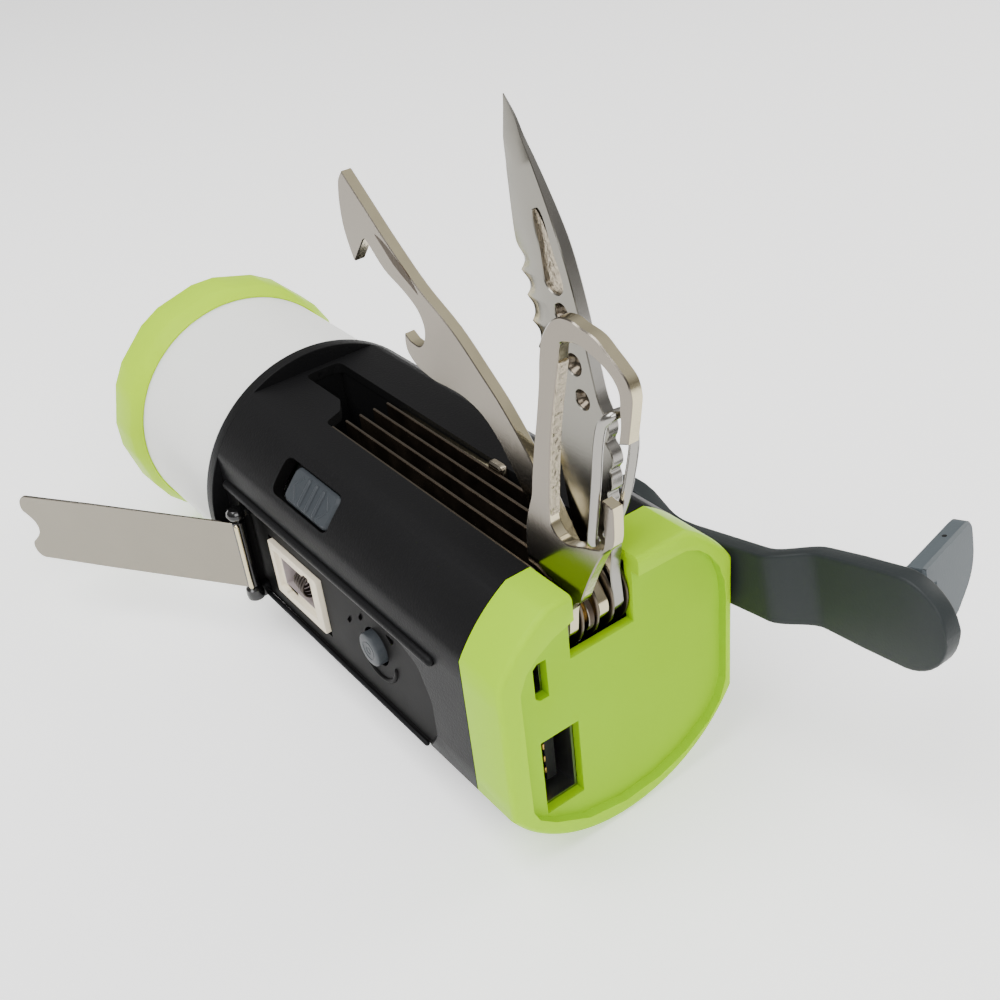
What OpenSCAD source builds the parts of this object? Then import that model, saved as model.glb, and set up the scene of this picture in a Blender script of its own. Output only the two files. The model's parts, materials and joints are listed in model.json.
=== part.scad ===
// Hand-crank camping lantern with a fold-out tool set, lying on its rounded belly.
// Origin: centre of the recessed face of the end cap. +Y runs along the body to the
// lantern end, +Z is up on the tool-bay side, +X is the crank side.

/* [Body] */
// Radius of the round body
body_r = 25; // [24:0.5:28]
// Wall thickness of the two shells
wall = 2; // [1.6:0.1:2.4]
// Depth of the end cap behind its recessed face
cap_len = 7.6; // [7:0.1:8]
// How far the cap's rim stands in front of its face
rim_depth = 1.5; // [1:0.1:2]
// Where the shells end and the lantern collar starts
shell_end = 82; // [82:0.5:84]

/* [Lantern] */
// Length of the milky diffuser
diffuser_len = 31.6; // [28:0.1:36]
// Radius of the diffuser
diffuser_r = 23.4; // [22.5:0.1:23.6]
// Length of the lantern ring
ring_len = 11; // [10:0.5:14]
// Radius of the lantern ring over its corners
ring_r = 25.5; // [25.2:0.1:26]

/* [Tool set] */
// Distance of the pivot pin behind the cap's face
pivot_y = 4; // [3.9:0.1:4.2]
// Height of the pivot pin over the body's axis
pivot_z = 14; // [13.9:0.1:14.2]
// Radius of the pivot pin
pin_r = 1.2; // [1:0.05:1.3]
// Thickness of the liners and dividers
plate_t = 0.5; // [0.4:0.05:0.5]
// Distance from one plate to the next
slot_pitch = 2.75; // [2.75:0.01:2.8]
// Thickness of the knife and the opener
blade_t = 1.9; // [1.7:0.1:1.9]
// Thickness of the carabiner
carabiner_t = 1.8; // [1.6:0.1:1.8]
// How far the knife stands open from its folded place
knife_angle = 79; // [0:1:170]
// How far the opener stands open
opener_angle = 44; // [0:1:170]
// How far the carabiner stands open
carabiner_angle = 103; // [10:1:170]

/* [Crank] */
// Distance of the crank's axis behind the cap's face
crank_y = 22.9; // [22.5:0.1:23.5]
// Height of the crank's axis over the body's axis
crank_z = 3.2; // [3:0.1:3.5]
// Distance from the crank's axis to the knob's lobe
crank_len = 51.5; // [48:0.5:54]
// Direction of the arm, turned up from -Y
crank_rise = 10.9; // [0:0.1:20]
// Lean of the knob towards the hub
knob_tilt = 13; // [0:1:70]

/* [Lighter door] */
// Length of the door
door_len = 47; // [45:0.5:48]
// How far the door stands open
door_angle = 146; // [0:1:150]

/* [Hidden] */
$fn = 72;

fit = 0.05;                                  // radial running clearance of a pin
flat = body_r * cos(30);                     // distance of the three flats from the axis
inner_r = body_r - wall;
collar_end = shell_end + 2.9;
diffuser_end = collar_end + diffuser_len;
ring_end = diffuser_end + ring_len;

plate_x = [for (i = [0:4]) -7.95 + i * slot_pitch];   // middle of each liner and divider
slot_x = [for (i = [0:3]) plate_x[i] + slot_pitch / 2];
saw_x = -3.7;                                // the thin saw keeps clear of the gate beside it
plate_top = 21.2;
plate_low = 3.4;
plate_end = 62;
tang_r = 3.6;
bay_left = -8.4;
bay_right = 4.6;
notch_left = -8.3;
notch_right = 3.4;
notch_z = 9.8;
tray_low = 2;
tray_wall = 1.2;

usb_x = [-15, -7.84];
usb_z = [-16.5, -2.2];
micro_x = [-15, -12.5];
micro_z = [5.4, 12.4];

crank_x = 22.5;                              // inner face of the arm at the hub
arm_t = 3;
jog = 3.9;                                   // how far the arm's outer half stands out
jog_start = 30;
jog_len = 7;
lobe_r = 7.4;
knob_x = crank_x + jog + arm_t + 1.5;        // axis of the knob's hinge
knob_w = crank_len;                          // how far out the knob is hinged
gear_m = 0.5;                                // gear module
gear_n = 36;
pinion_n = 12;
backlash = 0.14;
gear_gap = gear_m * (gear_n + pinion_n) / 2;
mid_y = crank_y + gear_gap;                  // axis of the intermediate gear
gen_turn = -40;                              // direction from there to the generator
gen_y = mid_y + gear_gap * cos(gen_turn);
gen_z = crank_z + gear_gap * sin(gen_turn);

door_x = -23.3;
door_y = 75.5;
door_z = [-11.4, 2.8];
button_y = 34.8;
button_z = -2.6;
recess_x = -20.6;                            // floor of the lighter recess
switch_turn = 138.5;                         // direction of the slide switch round the body
switch_y = [45, 62.8];

lime = [0.62, 0.80, 0.12];
charcoal = [0.20, 0.20, 0.21];
slate = [0.30, 0.34, 0.36];
grey = [0.42, 0.44, 0.46];
steel = [0.72, 0.70, 0.66];
milk = [0.90, 0.91, 0.87];

// ---- helpers ----

// Extrudes a drawing of (x, z) along Y
module along_y(y0, len) translate([0, y0 + len, 0]) rotate([90, 0, 0]) linear_extrude(len) children();

// Extrudes a drawing of (y, z) along X
module along_x(x0, len) translate([x0, 0, 0]) rotate([90, 0, 90]) linear_extrude(len) children();

module rod_x(x0, x1, y, z, r) translate([x0, y, z]) rotate([0, 90, 0]) cylinder(r = r, h = x1 - x0);

module rod_y(y0, y1, x, z, r) translate([x, y0, z]) rotate([-90, 0, 0]) cylinder(r = r, h = y1 - y0);

module block(low, high) translate(low) cube(high - low);

// Round section with flats on top, left and right
module profile(r) intersection() {
    circle(r = r);
    translate([-r * cos(30), -r]) square([2 * r * cos(30), r + r * cos(30)]);
}

// Two circles joined by their outer tangents
module link(p, rp, q, rq) {
    d = norm(q - p);
    a = atan2(q[1] - p[1], q[0] - p[0]);
    b = acos((rp - rq) / d);
    translate(p) circle(r = rp);
    translate(q) circle(r = rq);
    s = rp - 0.01;
    t = rq - 0.01;
    polygon([p + s * [cos(a + b), sin(a + b)], q + t * [cos(a + b), sin(a + b)],
             q + t * [cos(a - b), sin(a - b)], p + s * [cos(a - b), sin(a - b)]]);
}

// A flat tool on the pivot pin: u runs from the pin to the tip, v towards the spine
module tool(x_mid, t, angle) translate([x_mid - t / 2, pivot_y, pivot_z]) rotate([angle, 0, 0])
    rotate([90, 0, 90]) difference() {
        union() {
            cylinder(r = tang_r, h = t);
            linear_extrude(t) children();
        }
        translate([0, 0, -1]) cylinder(r = pin_r + fit, h = t + 2);
    }

function polar(r, a) = r * [cos(a), sin(a)];
function inv(a) = tan(a) * 180 / PI - a;
function tooth_half(r, rb, half) = half + inv(20) - inv(acos(min(1, rb / r)));
// Outline of a spur gear with involute teeth, one of them pointing along the first axis
function gear_outline(n) = let (
        rp = n * gear_m / 2, rb = rp * cos(20), tip = rp + 0.85 * gear_m, root = rp - 1.2 * gear_m,
        half = 90 / n - backlash / 2 / rp * 180 / PI, low = max(rb, root),
        radii = [low, (low + tip) / 2, tip])
    [for (i = [0:n - 1]) each concat(
        [polar(root, i * 360 / n - tooth_half(low, rb, half))],
        [for (k = [0:2]) polar(radii[k], i * 360 / n - tooth_half(radii[k], rb, half))],
        [for (k = [2:-1:0]) polar(radii[k], i * 360 / n + tooth_half(radii[k], rb, half))],
        [polar(root, i * 360 / n + tooth_half(low, rb, half))])];

// A gear of n teeth about an X axis, with its first tooth turned by turn
module gear(n, x0, len, y, z, turn) translate([x0, y, z]) rotate([turn, 0, 0])
    rotate([90, 0, 90]) linear_extrude(len) polygon(gear_outline(n));

// ---- casing ----

// Opening of the tool bay, with a rounded step to its narrow end
module bay_cut() translate([0, 0, tray_low + 1]) {
    translate([bay_left, cap_len - 1, 0]) cube([bay_right - bay_left, 55, 30]);
    translate([bay_left + 1.2, 61, 0]) cube([bay_right - bay_left - 1.2, 1.8, 30]);
    translate([bay_left + 1.2, 61.6, 0]) cylinder(r = 1.2, h = 30);
    translate([-4.6, 62, 0]) difference() {
        cube([2.1, 2.8, 30]);
        translate([0, 2.8, -1]) cylinder(r = 2, h = 40);
    }
    translate([-2.6, 60, 0]) cube([bay_right + 2.6, 19.4, 30]);
    translate([-1.4, 79, 0]) cube([bay_right + 0.2, 1.6, 30]);
    for (x = [-1.4, bay_right - 1.2]) translate([x, 79.4, 0]) cylinder(r = 1.2, h = 30);
}

// Outline (y, z) of the lighter recess
module recess_outline() polygon([[76.5, 5.5], [24.5, 5.5], [20, 2], [18.2, -2], [18.2, -9],
                                 [20.5, -13], [76.5, -13.4]]);

module switch_cut(grow) rotate([0, -switch_turn, 0])
    block([18, switch_y[0] - grow, -3.35 - grow], [30, switch_y[1] + grow, 3.35 + grow]);

module shell_body() difference() {
    along_y(cap_len + 0.05, shell_end - cap_len - 0.1) difference() {
        profile(body_r);
        profile(inner_r);
    }
    bay_cut();
}

// Screw bosses that join the shells below the works
boss_y = [17, 74];
module left_shell() color(charcoal) {
    difference() {
        union() {
            intersection() {
                shell_body();
                block([-30, 0, -30], [-0.02, 100, 30]);
            }
            // backing behind the recess
            intersection() {
                along_y(cap_len + 4, 68) profile(inner_r + 0.2);
                block([-22, 15, -16], [-18.4, 79, 8]);
            }
            // beads along the recess
            along_x(-22.6, 1.2) link([15.5, 7.5], 0.9, [80, 7.5], 0.9);
            along_x(-21.8, 1.2) link([24, -14.2], 0.5, [72, -14.2], 0.5);
            for (y = boss_y) rod_x(-9, -0.02, y, -20.5, 2.2);
        }
        along_x(-30, 30 + recess_x) recess_outline();
        block([-26, 51.3, -10.9], [-17, 69.9, 1.3]);
        rod_x(-26, -17, button_y, button_z, 3.4);
        switch_cut(0);
        for (y = boss_y) rod_x(-8.5, 0, y, -20.5, 0.9);
    }
    // hinge ears of the door
    for (z = [[door_z[0] - 3.4, door_z[0] - 0.3], [door_z[1] + 0.3, door_z[1] + 2.6]]) difference() {
        union() {
            translate([door_x, door_y, z[0]]) cylinder(r = 1.55, h = z[1] - z[0]);
            translate([door_x, door_y - 1.2, z[0]]) cube([4.2, 2.4, z[1] - z[0]]);
        }
        translate([door_x, door_y, door_z[0] - 2.2]) cylinder(r = 0.76, h = 17.6);
    }
}

module right_shell() color(charcoal) {
    difference() {
        intersection() {
            shell_body();
            block([0.02, 0, -30], [30, 100, 30]);
        }
        rod_x(15, 30, crank_y, crank_z, 4.5);
        for (y = boss_y) rod_x(8.8, 30, y, -20.5, 2);
    }
    for (y = boss_y) difference() {
        rod_x(0.02, 8.9, y, -20.5, 2.2);
        rod_x(-1, 10, y, -20.5, 1.2);
    }
}

module lantern_collar() color(charcoal) along_y(shell_end, collar_end - shell_end) difference() {
    circle(r = body_r);
    circle(r = 15);
}

module end_cap() color(lime) difference() {
    union() {
        along_y(-rim_depth, cap_len + rim_depth) difference() {
            profile(body_r);
            profile(inner_r);
        }
        along_y(0, 1.5) profile(inner_r + 0.5);
        // spigot that centres the shells
        along_y(cap_len - 2, 2) difference() {
            profile(inner_r + 0.5);
            profile(inner_r - 0.7);
        }
        along_y(cap_len - 0.5, 2.5) difference() {
            profile(inner_r - 0.1);
            profile(inner_r - 0.7);
        }
    }
    block([notch_left, -5, notch_z], [notch_right, 20, 40]);
    block([bay_left - tray_wall - 0.2, cap_len, 1], [bay_right + tray_wall + 0.2, 20, 40]);
    block([usb_x[0], -1, usb_z[0]], [usb_x[1], 3, usb_z[1]]);
    block([micro_x[0], -1, micro_z[0]], [micro_x[1], 3, micro_z[1]]);
}

module tool_tray() color([0.10, 0.10, 0.10]) difference() {
    block([bay_left - tray_wall, 12, tray_low], [bay_right + tray_wall, 81.8, 19.85]);
    block([bay_left, 0, tray_low + tray_wall], [bay_right, 80.6, 30]);
    for (p = frame_pin_at) rod_x(-20, 20, p[0], p[1], pin_r + fit);
    rod_x(0, 20, driver_y, driver_z, 0.8 + 0.01);
}

// ---- tool frame ----

frame_pin_at = [[39, 6.8], [56.5, 5.6]];
driver_x = plate_x[4] + plate_t / 2 + 0.15;
driver_y = 58.5;
driver_z = 17.4;

// Liner or divider: round nose about the pivot, straight to the back
module plate_outline() difference() {
    union() {
        translate([7.5, 14.2]) circle(r = 7);
        translate([4.5, plate_low]) square([plate_end - 4.5, 8]);
        translate([7.5, plate_low]) square([plate_end - 7.5, plate_top - plate_low]);
    }
    translate([pivot_y, pivot_z]) circle(r = pin_r + 0.01);
    for (p = frame_pin_at) translate(p) circle(r = pin_r + 0.01);
}

module plate(i) color(steel) along_x(plate_x[i] - plate_t / 2, plate_t) plate_outline();
module left_liner() plate(0);
module divider_a() plate(1);
module divider_b() plate(2);
module divider_c() plate(3);
module right_liner() color(steel) difference() {
    plate(4);
    rod_x(0, 20, driver_y, driver_z, 0.8 + 0.01);
}

module back_springs() color(steel) for (x = slot_x) block([x - 1, 8, 3.6], [x + 1, 44, 4.6]);

module pivot_pin() color(steel)
    rod_x(plate_x[0] - plate_t / 2, plate_x[4] + plate_t / 2, pivot_y, pivot_z, pin_r);

module frame_pins() color(steel) for (p = frame_pin_at)
    rod_x(bay_left - tray_wall, bay_right + tray_wall, p[0], p[1], pin_r);

washer_x = [[plate_x[1] + 0.3, saw_x - 0.55], [saw_x + 0.55, plate_x[2] - 0.3]];
module saw_washers() color([0.75, 0.60, 0.35]) for (x = washer_x)
    difference() {
        rod_x(x[0], x[1], pivot_y, pivot_z, 2.6);
        rod_x(x[0] - 1, x[1] + 1, pivot_y, pivot_z, pin_r + fit);
    }

// ---- tools ----

module carabiner() color(steel) tool(slot_x[0], carabiner_t, carabiner_angle) difference() {
    union() {
        polygon([[-1, -3.3], [3, -4.6], [6.2, -6.5], [9.7, -7.4], [13.6, -7.8], [16, -7.3], [41, -7.6],
                 [43.8, -7.5], [46.9, -6.3], [48.6, -4.6], [49.3, -2.4], [49.4, 1.4], [48.6, 4],
                 [47.1, 7.2], [45.4, 8.4], [43.5, 8.7], [38.6, 8.9], [37.8, 7.4], [27.8, 6],
                 [27.2, 8.3], [22, 8.9], [19.4, 7.4], [7.5, 4.4], [0, 3.6]]);
    }
    // inside of the loop
    polygon([[17.2, -3.2], [28.6, -4.2], [44.2, -4.5], [45.9, -3.2], [46.8, -1], [46.7, 2],
             [46.2, 4.2], [45.4, 5.8], [43.6, 6.7], [37, 7.5], [37, 15], [28.5, 15], [28.4, 4.9],
             [19.4, 4.6], [17.4, 3.2], [15.7, 0.6], [15.5, -1], [16.1, -2.4]]);
    translate(gate_pivot) circle(r = 0.55);
}

// Sprung wire gate: two legs beside the carabiner and a cross bar inside its nose
gate_pivot = [20.8, 5.9];
gate_top = [41, 5.9];
gate_r = 0.65;
gate_half = 1.6;
gate_front = [gate_pivot, [39, 5], gate_top];
gate_back = [gate_pivot, [28, 7.4], [36, 7.4], gate_top];

module gate_leg(x, path) translate([x, 0, 0]) {
    for (p = path) translate([0, p[0], p[1]]) sphere(r = gate_r);
    for (i = [1:len(path) - 1]) let (p = path[i - 1], q = path[i])
        translate([0, p[0], p[1]]) rotate([atan2(q[1] - p[1], q[0] - p[0]) - 90, 0, 0])
            cylinder(r = gate_r, h = norm(q - p));
}

module carabiner_gate($fn = 20) color(steel) translate([slot_x[0], pivot_y, pivot_z])
    rotate([carabiner_angle, 0, 0]) {
        gate_leg(-gate_half, gate_front);
        gate_leg(gate_half, gate_back);
        rod_x(-gate_half, gate_half, gate_top[0], gate_top[1], gate_r);
        rod_x(-gate_half, -0.3, gate_pivot[0], gate_pivot[1], 0.5);
        rod_x(0.3, gate_half, gate_pivot[0], gate_pivot[1], 0.5);
    }

module saw() color(steel) tool(saw_x, 1, 0) polygon(concat([[-1, 3.4], [6, 2.6], [48, 2.6], [52, 0], [50, -2]],
                   [for (i = [0:18], k = [0, 1]) [49 - 2 * i - k, k == 0 ? -2.6 : -3.8]],
                   [[9, -2.6], [-1, -3.4]]));

module bottle_opener() color(steel) tool(slot_x[2], blade_t, opener_angle) difference() {
    union() {
        polygon([[-1, 3.4], [5, 3.7], [10, 5.2], [16, 6.6], [22, 7.2], [28.3, 7.4], [34, 7],
                 [42, 5.9], [50.6, 3.9], [59.5, 2.5], [72.1, 1.4], [71.2, -2.3], [69.6, -4.8],
                 [67.3, -6.8], [62.7, -9], [62.8, -3.2], [61.7, -2.6], [56.9, -2.2], [52.6, -0.7],
                 [49, 0.4], [40, 0.4], [40, -6.2], [36, -3.2], [33.4, -1.2], [30, 0], [25, -0.6], [18, -3],
                 [10, -3.6], [-1, -3.4]]);
        // can-opener claw
        polygon([[40, 0.6], [46.8, 0.6], [45.2, -2.4], [45.2, -5], [46.6, -6.4], [48.2, -6.8], [47.2, -8.3],
                 [45.9, -8.9], [43.4, -8.6], [40, -6.4]]);
    }
    translate([47.8, -2.2]) circle(r = 2.8);
}

module knife() color(steel) tool(slot_x[3], blade_t, knife_angle) difference() {
    union() {
        polygon([[-1, 3.4], [5, 3.7], [9, 4.4], [14.8, 5.4], [17.4, 6.9], [20.5, 8.1], [26.6, 9.1],
                 [28.8, 9], [30.5, 8.2], [37.7, 8], [42.8, 7.7], [49.1, 6.9], [54, 5.8], [58.1, 4.6],
                 [64.4, 2.2], [67, 1.2], [69.4, 0], [64.2, -1.6], [60.7, -2.5], [57.8, -3.1],
                 [51.2, -3.8], [35.2, -3.8], [33.5, -3.2], [10, -3.6], [-1, -3.4]]);
    }
    // serrations, thumb grooves, lightening slot and holes
    for (i = [0:3]) translate([48.6 - 3.4 * i, -4.3]) circle(r = 1.65);
    for (u = [18.6, 21.4, 24.4]) translate([u, 9.4 - (24.4 - u) * 0.2]) circle(r = 1.1);
    link([46.3, 3.9], 1.6, [55, 3.1], 0.7);
    for (h = [[42.4, 4.2, 1.4], [35.6, 4.7, 1.5], [30.8, 5.1, 1.3]]) translate([h[0], h[1]]) circle(r = h[2]);
}

module slim_driver() color(steel) difference() {
    union() {
        rod_x(driver_x, driver_x + 1, driver_y, driver_z, 3.2);
        along_x(driver_x, 1) polygon([[driver_y + 1, driver_z - 3], [34, 14.6], [29.6, 17], [29.6, 22.3], [33.2, 22.3],
                 [34, 20.8], [driver_y + 1, driver_z + 3]]);
    }
    rod_x(0, 20, driver_y, driver_z, 0.8 + fit);
}

module driver_pin() color(steel)
    rod_x(plate_x[4] - plate_t / 2, bay_right + tray_wall, driver_y, driver_z, 0.8);

// ---- lighter ----

module lighter_housing() color([0.93, 0.90, 0.80]) difference() {
    block([-21.8, 51.5, -10.7], [-14.5, 69.7, 1.1]);
    block([-30, 53.6, -8.8], [-16, 67.6, -0.8]);
    for (y = [57.6, 63.6]) rod_x(-20, -10, y, -4.8, 0.56);
}

module lighter_coil() color([0.45, 0.42, 0.38]) for (i = [0:5])
    translate([-18.5, 58.7 + 0.75 * i, -4.8]) rotate([90, 0, 0]) rotate_extrude($fn = 24)
        translate([1.7, 0]) circle(r = 0.4, $fn = 16);

module lighter_posts() color(steel) for (y = [57.6, 63.6]) rod_x(-17.5, -10.4, y, -4.8, 0.55);

module lighter_button() color(grey) {
    rod_x(-22, -18, button_y, button_z, 3.2);
    rod_x(-18.1, -17.4, button_y, button_z, 4.2);
}

module switch_plunger() color([0.75, 0.30, 0.25]) rod_x(-17.38, -13.2, button_y, button_z, 1.3);

module button_switch() color([0.15, 0.15, 0.16]) difference() {
    block([-15.2, button_y - 3.6, button_z - 3.6], [-11.95, button_y + 3.6, button_z + 3.6]);
    rod_x(-20, -12.4, button_y, button_z, 1.3 + fit);
}

module door_turn() translate([door_x, door_y, 0]) rotate([0, 0, -door_angle]) children();

module cover_door() color(steel) door_turn() difference() {
    union() {
        translate([0, 0, door_z[0]]) cylinder(r = 1.3, h = door_z[1] - door_z[0]);
        translate([0.6, -door_len, door_z[0]]) cube([0.6, door_len, door_z[1] - door_z[0]]);
    }
    translate([0, 0, -20]) cylinder(r = 0.7 + fit, h = 40);
    // finger notch in the free end
    translate([-5, -door_len - 1.6, (door_z[0] + door_z[1]) / 2]) rotate([0, 90, 0])
        cylinder(r = 4.6, h = 10);
}

module door_pin() color(steel) translate([door_x, door_y, door_z[0] - 2]) cylinder(r = 0.7, h = 17.2);

// ---- switch, ports and electronics ----

module slide_switch() color(grey) rotate([0, -switch_turn, 0]) {
    intersection() {
        rod_y(switch_y[0] + 0.2, switch_y[1] - 3.6, 0, 0, body_r + 0.5);
        block([22.2, switch_y[0] + 0.2, -3.1], [30, switch_y[1] - 3.6, 3.1]);
    }
    block([20.9, switch_y[0] + 5, -0.9], [22.3, switch_y[0] + 8, 0.9]);
}

module switch_body() color([0.15, 0.15, 0.16]) rotate([0, -switch_turn, 0]) difference() {
    block([17.2, 46, -2.8], [22, 60, 2.8]);
    block([19.9, 48.5, -1.2], [23, 57.5, 1.2]);
}

module port_shell(x, z, depth, t) difference() {
    block([x[0], 1.6, z[0]], [x[1], depth, z[1]]);
    block([x[0] + t, 0, z[0] + t], [x[1] - t, depth - t, z[1] - t]);
}

module usb_a_shell() color(steel) port_shell(usb_x + [0.1, -0.1], usb_z + [0.1, -0.1], 15.5, 0.4);
module usb_a_tongue() color([0.12, 0.12, 0.12])
    block([usb_x[1] - 3.6, 4.2, usb_z[0] + 1.4], [usb_x[1] - 1.8, 15, usb_z[1] - 1.4]);
module micro_usb_shell() color(steel) port_shell(micro_x, micro_z, 8, 0.3);
module micro_usb_tongue() color([0.12, 0.12, 0.12])
    block([micro_x[0] + 0.9, 3, micro_z[0] + 1.4], [micro_x[1] - 0.9, 7.6, micro_z[1] - 1.4]);

module circuit_board() color([0.10, 0.35, 0.20]) difference() {
    block([-11.9, 16.2, -9.4], [-10.9, 76, 12]);
    for (y = [57.6, 63.6]) rod_x(-20, -5, y, -4.8, 0.56);
}

module battery() color([0.30, 0.45, 0.60]) rod_y(22, 70.8, -4.8, -13.8, 7);

module battery_clips() color(steel) for (y = [21.3, 70.9]) block([-9, y, -18], [-1, y + 0.6, -9]);

// ---- generator and gear train ----

module generator_case() color(steel) difference() {
    rod_x(2.8, 12, gen_y, gen_z, 6);
    rod_x(4, 10.8, gen_y, gen_z, 4.6);
    rod_x(0, 20, gen_y, gen_z, 1 + fit);
}

module generator_rotor() color([0.35, 0.35, 0.37]) {
    rod_x(4.4, 10.4, gen_y, gen_z, 4);
    rod_x(3, 13, gen_y, gen_z, 1);
    // a gap of this pinion faces a tooth of the intermediate gear
    gear(pinion_n, 13, 2.4, gen_y, gen_z, gen_turn + 180 + 180 / pinion_n);
}

module gearbox_plate() color([0.16, 0.16, 0.17]) difference() {
    union() {
        rod_x(12.05, 12.85, crank_y, crank_z, 5);
        rod_x(12.05, 12.85, mid_y, crank_z, 5);
        rod_x(12.05, 12.85, gen_y, gen_z, 5);
        block([12.05, crank_y, crank_z - 4.8], [12.85, mid_y, crank_z + 4.8]);
        translate([12.05, mid_y, crank_z]) rotate([gen_turn, 0, 0]) translate([0, 0, -4.8])
            cube([0.8, gear_gap, 9.6]);
    }
    rod_x(0, 20, gen_y, gen_z, 2);
    rod_x(0, 20, mid_y, crank_z, 1 + 0.01);
    rod_x(0, 20, crank_y, crank_z, 1.5 + fit);
}

module crank_gear() color([0.85, 0.84, 0.80]) difference() {
    gear(gear_n, 16.4, 2, crank_y, crank_z, 0);
    rod_x(0, 30, crank_y, crank_z, 2.5 + 0.01);
}

module intermediate_gear() color([0.85, 0.84, 0.80]) difference() {
    union() {
        gear(gear_n, 13.2, 2, mid_y, crank_z, gen_turn);
        gear(pinion_n, 15, 3.6, mid_y, crank_z, 180 + 180 / pinion_n);
    }
    rod_x(0, 30, mid_y, crank_z, 1 + fit);
}

module intermediate_pin() color(steel) rod_x(12.05, 19, mid_y, crank_z, 1);

module crank_shaft() color(steel) {
    rod_x(16.4, crank_x + arm_t, crank_y, crank_z, 2.5);
    rod_x(12.1, 16.5, crank_y, crank_z, 1.5);
}

module crank_bush() color([0.75, 0.60, 0.35]) difference() {
    union() {
        rod_x(19.2, 22.1, crank_y, crank_z, 4.5);
        rod_x(18.7, 19.6, crank_y, crank_z, 5.2);
    }
    rod_x(0, 30, crank_y, crank_z, 2.5 + fit);
}

// ---- crank ----

// Crank frame: w runs along the arm from the hub, the plate lies across X
module crank_turn() translate([0, crank_y, crank_z]) rotate([180 - crank_rise, 0, 0]) children();

module arm_outline() {
    circle(r = 10);
    link([0, 0], 4.9, [jog_start, 0], 5.5);
    link([jog_start, 0], 5.5, [crank_len, 0], lobe_r);
}

module crank_arm() color(slate) crank_turn() difference() {
    union() {
        intersection() {
            along_x(crank_x - 1, 10) arm_outline();
            translate([0, 0, -15]) linear_extrude(30) polygon([
                [crank_x, -12], [crank_x, jog_start], [crank_x + jog, jog_start + jog_len],
                [crank_x + jog, 70], [crank_x + jog + arm_t, 70],
                [crank_x + jog + arm_t, jog_start + jog_len - 0.8],
                [crank_x + arm_t, jog_start - 0.8], [crank_x + arm_t, -12]]);
        }
        // lug that carries the knob
        translate([knob_x, knob_w, -3.1]) {
            cylinder(r = 1.4, h = 6.2);
            translate([-1.7, -1.4, 0]) cube([1.7, 2.8, 6.2]);
        }
    }
    rod_x(0, 40, 0, 0, 2.5 + 0.01);
    translate([knob_x, knob_w, -10]) cylinder(r = 0.6 + 0.01, h = 20);
}

module crank_screw() color([0.25, 0.28, 0.30]) difference() {
    union() {
        rod_x(crank_x + arm_t, crank_x + arm_t + 1.2, crank_y, crank_z, 4);
    }
    translate([crank_x + arm_t + 0.7, crank_y - 0.4, crank_z - 2.5]) cube([2, 0.8, 5]);
}

// Fold-down grip: a flat paddle with one square and one round corner
module crank_knob() color(grey) crank_turn() translate([knob_x, knob_w, 0]) rotate([0, 0, -knob_tilt])
    difference() {
        union() {
            rotate([90, 0, 0]) translate([0, 0, -1.4]) linear_extrude(2.8) difference() {
                union() {
                    translate([0, -7]) square([8.1, 12.5]);
                    translate([8.1, -0.8]) circle(r = 6.3);
                    translate([12.4, -5]) circle(r = 2);
                    translate([7.4, -7]) square([5, 7]);
                    translate([12, -5]) square([2.4, 5]);
                }
                // room for the lug
                translate([-10, -3.3]) square([11.8, 6.6]);
            }
            translate([0, 0, -7]) cylinder(r = 1.4, h = 3.7);
            translate([0, 0, 3.3]) cylinder(r = 1.4, h = 2.2);
        }
        translate([0, 0, -6.4]) cylinder(r = 0.6 + fit, h = 13);
    }

module knob_pin() color(steel) crank_turn() translate([knob_x, knob_w, -6.3]) cylinder(r = 0.6, h = 11.6);

// ---- lantern end ----

module diffuser() color(milk) difference() {
    rod_y(collar_end, diffuser_end + 4, 0, 0, diffuser_r);
    rod_y(collar_end - 1, diffuser_end + 5, 0, 0, diffuser_r - 1.8);
}

// Ring with twelve wide and twelve narrow flats
function ring_corners(r) = [for (i = [0:11], s = [-9.5, 9.5]) polar(r, 15 + 30 * i + s)];
module lantern_ring() color(lime) difference() {
    union() {
        along_y(diffuser_end + 3.4, ring_len - 4.6) polygon(ring_corners(ring_r));
        intersection() {
            along_y(diffuser_end, ring_len) polygon(ring_corners(ring_r - 0.15));
            translate([0, diffuser_end, 0]) rotate([-90, 0, 0]) rotate_extrude()
                polygon([[0, 0], [diffuser_r + 0.4, 0], [ring_r + 0.5, 3.5],
                         [ring_r + 0.5, ring_len - 1.3], [ring_r - 1.2, ring_len], [0, ring_len]]);
        }
    }
    rod_y(diffuser_end - 1, diffuser_end + 4.1, 0, 0, diffuser_r + 0.05);
    rod_y(diffuser_end, ring_end + 1, 0, 0, 20);
}

module led_disc() color([0.92, 0.92, 0.90]) {
    rod_y(collar_end, collar_end + 1.2, 0, 0, 21);
    for (i = [0:5]) rotate([0, 60 * i, 0]) block([10, collar_end + 1.1, -1.5], [13, collar_end + 2.2, 1.5]);
}

module torch_reflector() color([0.85, 0.85, 0.87]) translate([0, ring_end - 9, 0]) rotate([-90, 0, 0])
    rotate_extrude() polygon([[3, 0], [5, 0], [11, 2], [16, 4.4], [19.8, 7], [19.8, 2], [21.4, 2],
                              [21.4, 0.6], [16, 0.6], [11, -1], [5, -2.2], [3, -2.2]]);

module torch_lens() color([0.85, 0.90, 0.92, 0.5]) rod_y(ring_end - 2, ring_end - 0.6, 0, 0, 19.8);

module torch_led() color([0.95, 0.90, 0.55]) {
    rod_y(ring_end - 13, ring_end - 11.3, 0, 0, 6);
    rod_y(ring_end - 11.4, ring_end - 8.6, 0, 0, 2.6);
}

module shell_screws() color([0.15, 0.15, 0.15]) for (y = boss_y) {
    rod_x(-8, 9.1, y, -20.5, 0.9);
    rod_x(9, 10.4, y, -20.5, 1.8);
}

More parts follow.
